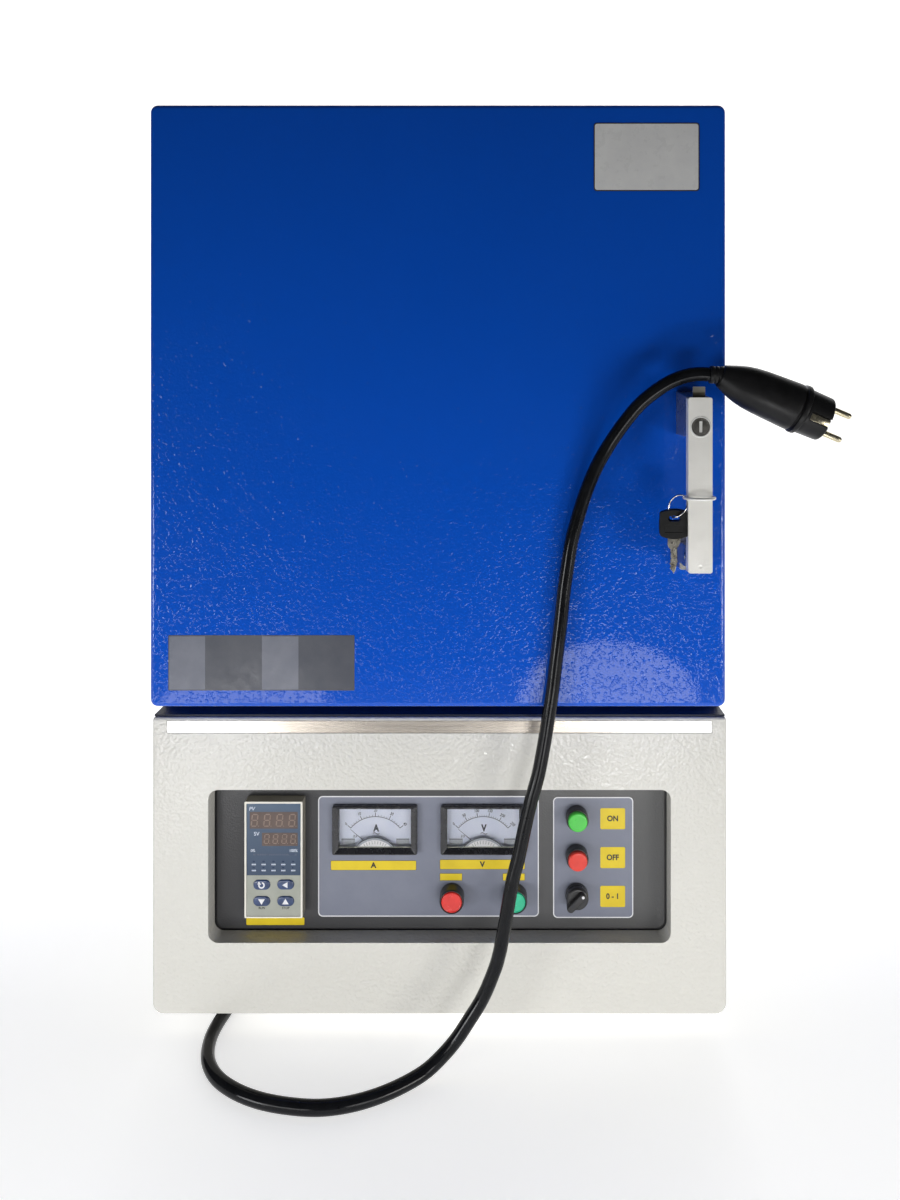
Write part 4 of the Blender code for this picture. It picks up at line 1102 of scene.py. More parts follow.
def segments_bm(cx, cz, w, h, t, shear, y):
    """Seven bars and a point, thin plates at y."""
    bars = [
        ((-w / 2, h / 2), (w / 2, h / 2)), ((-w / 2, 0), (w / 2, 0)), ((-w / 2, -h / 2), (w / 2, -h / 2)),
        ((-w / 2, h / 2), (-w / 2, 0)), ((w / 2, h / 2), (w / 2, 0)), ((-w / 2, 0), (-w / 2, -h / 2)), ((w / 2, 0), (w / 2, -h / 2)),
    ]
    out = []
    for (xa, za), (xb, zb) in bars:
        a, b = Vector((xa, za)), Vector((xb, zb))
        d = (b - a).normalized()
        n = Vector((-d.y, d.x)) * t / 2
        a, b = a + d * t * 0.32, b - d * t * 0.32
        pts = [a, a + d * t / 2 + n, b - d * t / 2 + n, b, b - d * t / 2 - n, a + d * t / 2 - n]
        outline = [(cx + p.x + shear * p.y, cz + p.y) for p in pts]
        out.append(plate_bm(outline, y - 0.06, y))
    dot = [(cx + w / 2 + t * 1.5 - shear * h / 2 + t * 0.45 * math.cos(a), cz - h / 2 + t * 0.45 * math.sin(a)) for a in [2 * math.pi * i / 10 for i in range(10)]]
    out.append(plate_bm(dot, y - 0.06, y))
    return out


bars = []
for px in (204, 342, 480, 618):
    bars += segments_bm(cx_of(236 + px / 11.04), cz_of(790 + 337 / 11.04), 4.6, 9.6, 0.95, 0.11, 6.38)
for px in (338, 434, 532, 630):
    bars += segments_bm(cx_of(236 + px / 11.04), cz_of(790 + 543 / 11.04), 3.6, 7.4, 0.8, 0.11, 6.38)
finish_mesh("display_segments", merge(*bars), SEGMENT, "base", smooth=None)

PALE_INK = ink("pale_ink", (0.62, 0.67, 0.78), (0.7, 0.74, 0.82), 0.4, 0.05)
for name, words, px, py, size, shear in (
    ("mark_pv", "PV", 172, 212, 4.3, 0.18), ("mark_sv", "SV", 226, 488, 4.3, 0.0),
    ("mark_0", "0%", 186, 673, 3.2, 0.0), ("mark_100", "100%", 632, 673, 3.2, 0.0),
):
    text_mesh(name, words, size, (cx_of(236 + px / 11.04), 6.4, cz_of(790 + py / 11.04)), PALE_INK, "base", shear=shear, bold=0.04)
for name, words, px, py in (("mark_run", "RUN", 284, 1307), ("mark_stop", "STOP", 548, 1307)):
    text_mesh(name, words, 2.6, (cx_of(236 + px / 11.04), 6.4, cz_of(790 + py / 11.04)), BLACK_INK, "base", bold=0.03)
leds, ticks = [], []
for row in (0, 1):
    for px in (195, 303, 412, 520, 630):
        x = cx_of(236 + px / 11.04)
        z = cz_of(790 + (793 + 67 * row) / 11.04)
        leds.append(plate_bm(rounded_outline(x - 0.95, x + 0.95, z - 0.55, z + 0.55, 0.4, 3), 6.38, 6.5))
        for k in (-1.3, -0.4, 0.5, 1.4):
            ticks.append(plate_bm(rounded_outline(x + k - 0.32, x + k + 0.32, z - 3.0, z - 1.8, 0.15, 2), 6.4, 6.5))
finish_mesh("controller_leds", merge(*leds), LED_DOT, "base", smooth=None)
finish_mesh("controller_led_ticks", merge(*ticks), PALE_INK, "base", smooth=None)
graph = []
for i in range(20):
    x = cx_of(236 + (197 + i * 24.3) / 11.04)
    z = cz_of(790 + 716 / 11.04)
    graph.append(plate_bm(rounded_outline(x - 0.72, x + 0.72, z - 0.7, z + 0.7, 0.12, 2), 6.4, 6.5))
BARGRAPH = ink("unlit_bargraph", (0.05, 0.075, 0.13), (0.07, 0.085, 0.13), 0.3, 0.03)
finish_mesh("controller_bargraph", merge(*graph), BARGRAPH, "base", smooth=None)

KEYS = {"key_loop": (-146.9, 123.0), "key_shift": (-127.2, 123.2), "key_down": (-146.9, 109.5), "key_up": (-127.2, 109.5)}
BODY_OF = {"key_loop": "loop_key", "key_shift": "shift_key", "key_down": "down_key", "key_up": "up_key"}


def oval(hx, hz, r, n=8):
    return rounded_outline(-hx, hx, -hz, hz, r, n)


def dome_bm(cx, cz, hx, hz, y_front, y_back, swell=0.35):
    """An oval key: straight sides, a rounded shoulder and a gently crowned top."""
    bm = bmesh.new()
    rings = []
    for inset, y in ((0.0, y_back), (0.0, y_front + 0.9), (0.12, y_front + 0.5), (0.42, y_front + 0.18), (1.0, y_front), (2.2, y_front - swell * 0.6), (3.6, y_front - swell)):
        pts = oval(hx - inset, max(hz - inset, 0.25), max(hz - inset - 0.05, 0.2))
        rings.append([bm.verts.new(at(cx + x, y, cz + z)) for x, z in pts])
    for a, b in zip(rings, rings[1:]):
        for i in range(len(a)):
            j = (i + 1) % len(a)
            bm.faces.new((a[i], b[i], b[j], a[j]))
    bm.faces.new(rings[0])
    bm.faces.new(list(reversed(rings[-1])))
    return bm


for name, (x, z) in KEYS.items():
    body = BODY_OF[name]
    finish_mesh(name + "_cap", dome_bm(x, z, 7.0, 4.1, 5.35, 8.0, 0.15), NAVY, body, replaces=name, smooth=50)
    y = 5.22
    if name == "key_loop":
        pts = []
        for i in range(19):
            a = math.radians(150 + 290 * i / 18)
            pts.append((math.cos(a), math.sin(a)))
        outline = [(x + 2.7 * c, z + 2.7 * q) for c, q in pts] + [(x + 1.55 * c, z + 1.55 * q) for c, q in reversed(pts)]
        bm = bmesh.new()
        n = len(pts)
        f = [bm.verts.new(at(px_, y - 0.08, pz_)) for px_, pz_ in outline]
        b = [bm.verts.new(at(px_, y + 0.2, pz_)) for px_, pz_ in outline]
        total = len(outline)
        for i in range(total):
            j = (i + 1) % total
            bm.faces.new((f[i], b[i], b[j], f[j]))
        for i in range(n - 1):
            bm.faces.new((f[i], f[i + 1], f[total - 2 - i], f[total - 1 - i]))
            bm.faces.new((b[i + 1], b[i], b[total - 1 - i], b[total - 2 - i]))
        a0 = math.radians(150)
        tip = (x + 2.15 * math.cos(a0), z + 2.15 * math.sin(a0))
        head = [(tip[0] - 1.6, tip[1] - 0.3), (tip[0] + 1.7, tip[1] - 0.6), (tip[0] - 0.3, tip[1] + 2.0)]
        icon = merge(bm, plate_bm(head, y - 0.08, y + 0.2))
    else:
        d = {"key_shift": [(-2.6, 0), (1.7, 2.5), (1.7, -2.5)], "key_down": [(0, -2.5), (-2.7, 2.1), (2.7, 2.1)], "key_up": [(0, 2.5), (2.7, -2.1), (-2.7, -2.1)]}[name]
        icon = plate_bm([(x + p, z + q) for p, q in d], y - 0.08, y + 0.2)
    finish_mesh(name + "_icon", icon, WHITE_INK, body, smooth=None)

# ======================================================================= meters
DIAL = ink("dial_paper", (0.66, 0.7, 0.83), (0.72, 0.75, 0.86), 0.55, 0.04)
DIAL_GREY = ink("dial_grey", (0.36, 0.38, 0.43), (0.46, 0.48, 0.52), 0.5, 0.05)
DIAL_INK = ink("dial_ink", (0.03, 0.035, 0.05), (0.05, 0.055, 0.07), 0.5, 0.03)
COVER = ink("movement_cover", (0.78, 0.77, 0.78), (0.84, 0.82, 0.82), 0.35, 0.05)
BRASSY = ink("dial_edge", (0.3, 0.31, 0.27), (0.42, 0.42, 0.36), 0.4, 0.05)
METER_BLACK = new_material("meter_case_black", (0.012, 0.012, 0.014), 0.24, Coat_Weight=0.5, Coat_Roughness=0.12)
t, s = parts_of(METER_BLACK)
vary(METER_BLACK, (0.02, 0.02, 0.024), scale=90, amount=0.9)
vary_rough(METER_BLACK, 0.18, 0.34, scale=160)
bump(t, s, [(noise(t, 1300, 2, 0.5), 0.06, 0.0001)])
GLASS = new_material("lens_acrylic", (1.0, 1.0, 1.0), 0.03, Transmission_Weight=1.0, IOR=1.15)
t, s = parts_of(GLASS)
bump(t, s, [(noise(t, 60, 2, 0.5), 0.02, 0.0003)])

NEEDLE_Z = 146.1
DIAL_Y = 19.4
PIVOT_R = 26.9


def polar(x, deg, r):
    a = math.radians(deg)
    return x + r * math.sin(a), NEEDLE_Z + r * math.cos(a)


def stroke_bm(x, deg, r0, r1, w, y):
    (xa, za), (xb, zb) = polar(x, deg, r0), polar(x, deg, r1)
    nx, nz = math.cos(math.radians(deg)) * w / 2, -math.sin(math.radians(deg)) * w / 2
    return plate_bm([(xa - nx, za - nz), (xb - nx, zb - nz), (xb + nx, zb + nz), (xa + nx, za + nz)], y - 0.06, y)


def arc_bm(x, a0, a1, r, w, y, n=40, centre_z=None):
    bm = bmesh.new()
    rows = []
    for i in range(n + 1):
        d = math.radians(a0 + (a1 - a0) * i / n)
        row = []
        for rr in (r - w / 2, r + w / 2):
            px_, pz_ = x + rr * math.sin(d), (NEEDLE_Z if centre_z is None else centre_z) + rr * math.cos(d)
            row += [bm.verts.new(at(px_, y - 0.06, pz_)), bm.verts.new(at(px_, y, pz_))]
        rows.append(row)
    for a, b in zip(rows, rows[1:]):
        bm.faces.new((a[0], b[0], b[2], a[2]))
        bm.faces.new((a[1], a[3], b[3], b[1]))
        bm.faces.new((a[2], b[2], b[3], a[3]))
        bm.faces.new((a[0], a[1], b[1], b[0]))
    for row in (rows[0], rows[-1]):
        bm.faces.new((row[0], row[2], row[3], row[1]))
    return bm


def bezel_bm(x):
    """A moulded meter front: chamfered rim, mitred slopes down to the window, straight walls to the dial."""
    x0, x1, z0, z1 = x - 35.5, x + 35.5, 143.5, 184.2
    rings = [
        (x0, x1, z0, z1, 1.6, 17.6), (x0, x1, z0, z1, 1.6, 13.9), (x0 + 0.3, x1 - 0.3, z0 + 0.3, z1 - 0.3, 1.4, 13.3),
        (x0 + 0.8, x1 - 0.8, z0 + 0.8, z1 - 0.7, 1.1, 13.0), (x0 + 1.9, x1 - 1.9, z0 + 1.2, z1 - 1.0, 0.8, 13.0),
        (x0 + 2.2, x1 - 2.2, z0 + 1.5, z1 - 1.3, 0.6, 13.25),
        (x0 + 5.0, x1 - 5.0, z0 + 5.2, z1 - 2.8, 0.3, 14.7), (x0 + 5.3, x1 - 5.3, z0 + 5.5, z1 - 3.0, 0.25, 15.0),
        (x0 + 5.3, x1 - 5.3, z0 + 5.5, z1 - 3.0, 0.25, 15.8),
        (x0 + 5.1, x1 - 5.1, z0 + 1.0, z1 - 2.9, 0.25, 16.0), (x0 + 5.1, x1 - 5.1, z0 + 1.0, z1 - 2.9, 0.25, 19.5),
    ]
    bm = bmesh.new()
    loops = [[bm.verts.new(at(px_, y, pz_)) for px_, pz_ in rounded_outline(a, b, c, d, r, 4)] for a, b, c, d, r, y in rings]
    for a, b in zip(loops, loops[1:]):
        for i in range(len(a)):
            j = (i + 1) % len(a)
            bm.faces.new((a[i], b[i], b[j], a[j]))
    back = [[bm.verts.new(at(px_, y, pz_)) for px_, pz_ in rounded_outline(x - 31.2, x + 31.2, 144.0, 183.2, r, 4)] for r, y in ((0.6, 17.6), (0.6, 52.0))]
    for i in range(len(loops[0])):
        j = (i + 1) % len(loops[0])
        bm.faces.new((loops[0][j], loops[0][i], back[0][i], back[0][j]))
        bm.faces.new((back[0][j], back[0][i], back[1][i], back[1][j]))
    bm.faces.new(back[1])
    bm.faces.new(list(reversed(loops[-1])))
    return bm


SCALES = {
    "ammeter": (-54.8, "A", ["0", "10", "20", "30", "40"], 5),
    "voltmeter": (35.6, "V", ["0", "50", "100", "150", "200", "250"], 5),
}
for meter, (x, unit, numbers, minor) in SCALES.items():
    finish_mesh(meter + "_front", bezel_bm(x), METER_BLACK, "base", replaces=meter + "_case", smooth=22)
    finish_mesh(meter + "_dial", plate_bm(rounded_outline(x - 30.2, x + 30.2, 144.9, 181.2, 0.3), DIAL_Y - 0.1, DIAL_Y + 0.05), DIAL, "base", smooth=None)
    y = DIAL_Y - 0.1
    marks = [arc_bm(x, -50, 50, PIVOT_R, 0.46, y)]
    steps = (len(numbers) - 1) * minor
    for i in range(steps + 1):
        deg = -50 + 100 * i / steps
        big = i % minor == 0
        marks.append(stroke_bm(x, deg, PIVOT_R - 0.1, PIVOT_R + (3.4 if big else 1.5), 0.5 if big else 0.3, y))
    finish_mesh(meter + "_scale", merge(*marks), DIAL_INK, "base", smooth=None)
    for i, number in enumerate(numbers):
        deg = -50 + 100 * i / (len(numbers) - 1)
        nx, nz = polar(x, deg, PIVOT_R + 5.3)
        nx = min(max(nx, x - 27.2), x + 27.0)
        text_mesh(f"{meter}_number_{i}", number, 3.5, (nx, y - 0.08, min(nz, 179.0)), DIAL_INK, "base", spin=-deg * 0.8, shear=0.15, stretch=0.8, bold=0.05)
    text_mesh(meter + "_unit", unit, 7.8, (x + 0.6, y - 0.08, 163.2), DIAL_INK, "base", stretch=0.8, bold=0.38)
    wave = [(x + 0.6 - 2.8 + 5.6 * i / 16, 158.9 + 0.6 * math.sin(2 * math.pi * i / 16)) for i in range(17)]
    finish_mesh(
        meter + "_wave", plate_bm([(a, b + 0.28) for a, b in wave] + [(a, b - 0.28) for a, b in reversed(wave)], y - 0.12, y),
        DIAL_INK, "base", smooth=None,
    )
    text_mesh(meter + "_class", "2.5", 2.7, (x - 17.2, y - 0.08, 156.6), DIAL_INK, "base", shear=0.2, bold=0.04)
    strips = [
        plate_bm(rounded_outline(x - 28.4, x - 17.2, 150.0, 154.4, 0.3, 2), y - 0.3, y - 0.02),
        plate_bm(rounded_outline(x + 17.4, x + 28.4, 150.0, 154.4, 0.3, 2), y - 0.3, y - 0.02),
    ]
    finish_mesh(meter + "_strips", merge(*strips), DIAL_GREY, "base", smooth=None)
    edges = [
        plate_bm(rounded_outline(x + a, x + b, 154.1, 154.6, 0.1, 2), y - 0.36, y - 0.3) for a, b in ((-28.4, -17.2), (17.4, 28.4))
    ]
    # the moulded cover over the movement, in front of the needle's sweep
    def cap_bm(r, y0, y1):
        half = math.degrees(math.acos((144.9 - 136.4) / r))
        pts = [(x + r * math.sin(math.radians(-half + 2 * half * i / 36)), 136.4 + r * math.cos(math.radians(-half + 2 * half * i / 36))) for i in range(37)]
        return plate_bm(pts, y0, y1)

    finish_mesh(meter + "_cover", cap_bm(21.0, 15.86, 16.2), DIAL_GREY, "base", smooth=None)
    finish_mesh(meter + "_cover_cap", cap_bm(18.6, 15.74, 15.87), COVER, "base", smooth=None)
    lines = [arc_bm(x, -62, 62, 20.6, 0.75, 15.84, centre_z=136.4), *edges]
    for deg in (-31, -24, -16, -8, 0, 8, 16, 24, 31):
        a = math.radians(deg)
        p, q = (x + 15.4 * math.sin(a), 136.4 + 15.4 * math.cos(a)), (x + 18.2 * math.sin(a), 136.4 + 18.2 * math.cos(a))
        n = (math.cos(a) * 0.12, -math.sin(a) * 0.12)
        lines.append(plate_bm([(p[0] - n[0], p[1] - n[1]), (q[0] - n[0], q[1] - n[1]), (q[0] + n[0], q[1] + n[1]), (p[0] + n[0], p[1] + n[1])], 15.68, 15.74))
    finish_mesh(meter + "_cover_lines", merge(*lines), DIAL_INK, "base", smooth=None)
    finish_mesh(meter + "_edge", plate_bm(rounded_outline(x - 29.8, x + 29.8, 149.05, 149.7, 0.1, 2), 15.3, 15.7), BRASSY, "base", smooth=None)
    # window: a thin clear sheet
    finish_mesh(
        meter + "_window", plate_bm(rounded_outline(x - 29.7, x + 29.7, 149.2, 180.9, 0.4), 14.8, 15.2),
        GLASS, "base", replaces=meter + "_lens", smooth=None,
    )
    # needle on its hub, at rest on the zero mark
    blade = bmesh.new()
    tip = [(-0.26, 0), (-0.18, 18), (-0.09, 27.2), (0.09, 27.2), (0.18, 18), (0.26, 0)]
    f = [blade.verts.new((px_ * MM, -0.15 * MM, pz_ * MM)) for px_, pz_ in tip]
    b = [blade.verts.new((px_ * MM, 0.15 * MM, pz_ * MM)) for px_, pz_ in tip]
    for i in range(6):
        j = (i + 1) % 6
        blade.faces.new((f[i], f[j], b[j], b[i]))
    blade.faces.new(list(reversed(f)))
    blade.faces.new(b)
    bmesh.ops.transform(blade, matrix=Matrix.Translation(at(x, 16.9, NEEDLE_Z)) @ Matrix.Rotation(math.radians(-50), 4, "Y"), verts=blade.verts)
    hub = turned_bm(rounded([(0, 0.6), (1.1, 0.5), (1.1, -1.2), (0, -1.2)], 0.2, 2), stand((x, 16.9, NEEDLE_Z), "-y"), 20)
    finish_mesh(meter + "_pointer", merge(blade, hub), DIAL_INK, {"ammeter": "amp_needle", "voltmeter": "volt_needle"}[meter], replaces=meter + "_needle", smooth=35)

# ======================================================== lamps, buttons, selector
def plastic(name, rgb, rgb_b, rough=0.3, coat=0.3, grain=0.08, emission=None, **kw):
    m = new_material(name, rgb, rough, Coat_Weight=coat, Coat_Roughness=0.15, **kw)
    t, s = parts_of(m)
    vary(m, rgb_b, scale=110, amount=0.9)
    vary_rough(m, rough - 0.06, rough + 0.08, scale=200)
    bump(t, s, [(noise(t, 1500, 2, 0.5), grain, 0.0001)])
    if emission:
        s.inputs["Emission Color"].default_value = (*rgb, 1)
        s.inputs["Emission Strength"].default_value = emission
    return m


RED_CAP = plastic("red_cap", (0.8, 0.045, 0.022), (0.7, 0.03, 0.016), 0.32)
GREEN_CAP = plastic("green_cap", (0.07, 0.62, 0.06), (0.05, 0.54, 0.05), 0.32)
RED_LENS = plastic("red_lens", (0.82, 0.035, 0.025), (0.66, 0.02, 0.015), 0.22, 0.6)
TEAL_LENS = plastic("teal_lens", (0.02, 0.5, 0.27), (0.015, 0.4, 0.22), 0.22, 0.6)

for name, x, mat, slot_ in (("fault_lamp", 9.6, RED_LENS, "red_plastic"), ("run_lamp", 62.0, TEAL_LENS, "teal_plastic")):
    base_at = stand((x, 17.5, 108.2), "-y")
    finish_mesh(
        name + "_socket",
        turned_bm(rounded([(0, 5.8), (8.75, 5.8), (8.8, 10.7), (9.1, 11.2), (9.75, 11.0), (10.05, 10.2), (10.1, 2.6), (10.2, 2.4), (10.2, 0.1), (7.4, 0), (7.4, -22), (0, -22)], 0.25, 2), base_at, 56),
        BLACK, "base", replaces=name + "_body", smooth=40,
    )
    # ribbed dome: flat crown, stepped shoulder with a ring of flutes
    dome = raw(turned_bm(rounded([(0, 11.4), (7.3, 11.45), (7.5, 11.8), (7.9, 11.85), (8.4, 11.3), (8.65, 10.4), (8.7, 9.0), (8.7, 6.3), (0, 6.3)], 0.22, 3), base_at, 64))
    adopt(dome, name + "_dome", mat, "base", replaces=name + "_lens", smooth=40)
    flutes = []
    for k in range(36):
        a = 2 * math.pi * k / 36
        pts = [base_at @ (Vector((8.62 * math.cos(a), 8.62 * math.sin(a), h)) * MM) for h in (6.5, 8.2, 10.2)]
        flutes.append(tube_bm(pts, 0.28, sides=6, radii=[0.3, 0.3, 0.12]))
    finish_mesh(name + "_flutes", merge(*flutes), mat, "base", smooth=60)

for name, z, mat, slot_, body in (("on_button", 174.2, GREEN_CAP, "green_plastic", "on_cap"), ("off_button", 141.8, RED_CAP, "red_plastic", "off_cap")):
    base_at = stand((113.8, 17.5, z), "-y")
    collar = raw(turned_bm(rounded([(0, 8.6), (8.7, 8.6), (9.2, 8.1), (9.3, 1.0), (9.3, 0.0), (7.4, 0), (7.4, -30), (0, -30)], 0.45, 3), base_at, 64))
    boolean(collar, [turned_bm([(0, 20), (8.3, 20), (8.3, 2.5), (0, 2.5)], base_at, 64)])
    adopt(collar, name + "_collar", BLACK, "base", replaces=name + "_body", smooth=40, bevel=(0.18, 2, 50))
    finish_mesh(
        name + "_actuator",
        turned_bm(rounded([(0, 12.15), (4.5, 12.25), (6.6, 12.3), (7.4, 12.05), (7.85, 11.4), (8.0, 10.6), (8.0, 6.0), (0, 6.0)], 0.5, 3), base_at, 64),
        mat, body, replaces=name + "_cap", smooth=40,
    )

base_at = stand((113.8, 17.5, 109.2), "-y")
finish_mesh(
    "selector_collar",
    turned_bm(rounded([(0, 4.0), (9.3, 4.0), (9.4, 3.4), (9.4, 0), (7.4, 0), (7.4, -30), (0, -30)], 0.4, 3), base_at, 64),
    BLACK, "base", replaces="selector_body", smooth=40,
)
knob = raw(turned_bm(rounded([(0, 9.4), (7.4, 9.4), (8.6, 9.0), (9.1, 8.0), (9.2, 6.0), (9.2, 4.3), (0, 4.3)], 0.6, 3), base_at, 64))
grip = bmesh.new()
outline = rounded_outline(-11.4, 8.2, -3.1, 3.1, 2.9, 8)
loops = []
for inset, h in ((0.3, 4.6), (0.0, 8.6), (0.0, 12.2), (0.35, 13.0), (1.0, 13.45), (1.9, 13.5)):
    ring = rounded_outline(-11.4 + inset, 8.2 - inset, -3.1 + inset, 3.1 - inset, max(2.9 - inset, 0.4), 8)
    loops.append([grip.verts.new(Vector((a, b, h)) * MM) for a, b in ring])
for a, b in zip(loops, loops[1:]):
    for i in range(len(a)):
        j = (i + 1) % len(a)
        grip.faces.new((a[i], a[j], b[j], b[i]))
grip.faces.new(list(reversed(loops[0])))
grip.faces.new(loops[-1])
bmesh.ops.transform(grip, matrix=base_at @ Matrix.Rotation(math.radians(45), 4, "Z"), verts=grip.verts)
boolean(knob, [grip], "UNION")
adopt(knob, "selector_grip", BLACK, "selector", replaces="selector_knob", smooth=40, bevel=(0.3, 2, 50))
dot_at = base_at @ Matrix.Rotation(math.radians(45), 4, "Z") @ Matrix.Translation((5.9 * MM, 0, 13.5 * MM))
finish_mesh("selector_dot", turned_bm([(0, 0.12), (1.15, 0.1), (1.2, 0.0), (1.2, -0.6), (0, -0.6)], dot_at, 20), WHITE_INK, "selector", smooth=40)

# ================================================================= lever handle
PIVOT_Y, PIVOT_Z = -53.5, 405.5
LOCK_X, LOCK_Z = 197.3, 503.7


def slanted(bm, z_cut, drop, y_a, y_b):
    """Lowers the vertices above z_cut from nothing at y_b to drop at y_a."""
    for v in bm.verts:
        if v.co.z > z_cut * MM:
            y = v.co.y / MM - Y_FRONT
            v.co.z -= drop * MM * (y_b - y) / (y_b - y_a)
    return bm


POST = new_material("post_alloy", (0.5, 0.49, 0.47), 0.3, 0.9)
t, s = parts_of(POST)
vary(POST, (0.42, 0.41, 0.4), scale=60, amount=0.9)
vary_rough(POST, 0.24, 0.4, scale=160)
bump(t, s, [(noise(t, 1300, 3, 0.5), 0.1, 0.0001)])

post = raw(slanted(box_bm((188.3, -61.9, 496.0), (205.8, -25.3, 530.0)), 520, 4.2, -61.9, -25.3))
boolean(post, [box_bm((193.3, -61.9, 518), (202.4, -59.4, 533.5), bevels=((along(1), 0.7, 3),))], "UNION")
boolean(post, [turned_bm([(0, 20), (6.0, 20), (6.0, -10), (0, -10)], stand((LOCK_X, -60, LOCK_Z), "-y"), 32)])
adopt(post, "handle_upper_post", POST, "door", replaces="latch_upper_post", smooth=32, bevel=(0.6, 3, 40), weighted=True)
finish_mesh(
    "handle_tab", box_bm((193.25, -62.15, 524.0), (202.45, -61.9, 533.45), bevels=((along(1), 0.6, 3),)),
    OLIVE, "door", smooth=32,
)

lower = raw(box_bm((188.5, -53.5, 397.5), (205.8, -25.3, 413.5)))
boolean(
    lower,
    [
        box_bm((188.5, -38, 391.6), (205.8, -25.3, 417.5), bevels=((along(1), 1.5, 3),)),
        turned_bm([(0, 8.65), (8.0, 8.65), (8.0, -8.65), (0, -8.65)], stand((197.15, PIVOT_Y, PIVOT_Z), "+x"), 48),
    ],
    "UNION",
)
boolean(lower, [box_bm((193.3, -70, 380), (201.0, -41.5, 430))])
adopt(lower, "handle_lower_post", POST, "door", replaces="latch_lower_post", smooth=32, bevel=(0.4, 2, 40), weighted=True)
finish_mesh(
    "handle_pivot_pin",
    turned_bm(rounded([(0, 9.1), (2.6, 9.1), (2.9, 8.8), (2.9, 8.2), (2.0, 8.2), (2.0, -8.2), (2.9, -8.2), (2.9, -8.8), (2.6, -9.1), (0, -9.1)], 0.3, 2), stand((197.15, PIVOT_Y, PIVOT_Z), "+x"), 32),
    STEEL, "door", smooth=40,
)

RING_WIRE = new_material("ring_wire_bright", (0.82, 0.82, 0.8), 0.42, 0.35)
t, s = parts_of(RING_WIRE)
vary(RING_WIRE, (0.72, 0.72, 0.7), scale=200, amount=0.8)
vary_rough(RING_WIRE, 0.36, 0.5, scale=200)
BAR_PAINT = new_material("lever_satin", (0.9, 0.885, 0.835), 0.34, 0.25, Coat_Weight=0.25, Coat_Roughness=0.2)
t, s = parts_of(BAR_PAINT)
vary(BAR_PAINT, (0.95, 0.94, 0.9), scale=22, amount=0.9)
vary_rough(BAR_PAINT, 0.3, 0.44, scale=120)
bump(t, s, [(noise(t, 1500, 2, 0.5), 0.1, 0.0001), (noise(t, 60, 3, 0.5, (1, 1, 0.3)), 0.05, 0.0005)])
bar = raw(box_bm((188.1, -70.0, 395.2), (206.0, -62.4, 525.4), bevels=((along(1), 1.6, 4),)))
boolean(
    bar,
    [
        box_bm((193.8, -64, 399.8), (200.5, PIVOT_Y, 411.2)),
        turned_bm([(0, 3.35), (5.7, 3.35), (5.7, -3.35), (0, -3.35)], stand((197.15, PIVOT_Y, PIVOT_Z), "+x"), 40),
    ],
    "UNION",
)
boolean(
    bar,
    [
        turned_bm([(0, 20), (2.35, 20), (2.35, -20), (0, -20)], stand((197.15, PIVOT_Y, PIVOT_Z), "+x"), 32),
        turned_bm([(0, 20), (7.2, 20), (7.2, -20), (0, -20)], stand((LOCK_X, -66, LOCK_Z), "-y"), 56),
        turned_bm([(0, 12), (1.0, 12), (1.4, 3.9), (0, 3.55)], stand((197.1, -66, 400.2), "-y"), 24),
        box_bm((190.6, -71, 517.6), (203.6, -69.86, 518.3), bevels=((along(1), 0.3, 3),)),
        box_bm((190.6, -71, 514.9), (203.6, -69.86, 515.6), bevels=((along(1), 0.3, 3),)),
    ],
)
adopt(bar, "lever_bar", BAR_PAINT, "lever", replaces="latch_lever", smooth=32, bevel=(0.75, 4, 40), weighted=True)
lock_at = stand((LOCK_X, -70.0, LOCK_Z), "-y")
lock = raw(turned_bm(rounded([(0, 0.35), (5.4, 0.35), (5.7, 0.1), (6.0, 0.35), (6.6, 0.3), (6.95, -0.1), (6.95, -7.2), (4.8, -7.2), (4.8, -17.5), (0, -17.5)], 0.2, 2), lock_at, 64))
boolean(lock, [box_bm((LOCK_X - 1.15, -75, LOCK_Z - 4.2), (LOCK_X + 1.15, -69.0, LOCK_Z + 4.2), bevels=((along(1), 0.5, 3),))])
adopt(lock, "lock_barrel", DARK_STEEL, "lock", replaces="lock_cylinder", smooth=40, bevel=(0.12, 2, 50))
finish_mesh(
    "lock_rosette", turned_bm(rounded([(0, 0.05), (7.0, 0.05), (7.1, 0.42), (7.7, 0.34), (8.0, 0.1), (8.0, -0.2), (0, -0.2)], 0.1, 2), lock_at, 64),
    RING_WIRE, "lever", smooth=40,
)
SHUTTER = new_material("keyway_shutter", (0.24, 0.235, 0.22), 0.4, 0.3)
vary(SHUTTER, (0.18, 0.175, 0.16), scale=300, amount=1.0)
vary_rough(SHUTTER, 0.3, 0.45, scale=200)
finish_mesh("keyway_shutter_plate", box_bm((LOCK_X - 0.95, -69.5, LOCK_Z - 3.3), (LOCK_X + 0.95, -68.9, LOCK_Z + 3.5), bevels=((along(1), 0.4, 3), (rim(1, -1), 0.15, 2))), SHUTTER, "lock", smooth=32)

tongue = raw(box_bm((194.2, 8, 441), (200.4, 33.4, 472), bevels=((along(0), 1.5, 3),)))
boolean(tongue, [box_bm((194.2, -18, 441), (200.4, 12, 452))], "UNION")
adopt(tongue, "latch_bolt", STEEL, "tongue", replaces="latch_tongue", smooth=32, bevel=(0.5, 2, 40), weighted=True)

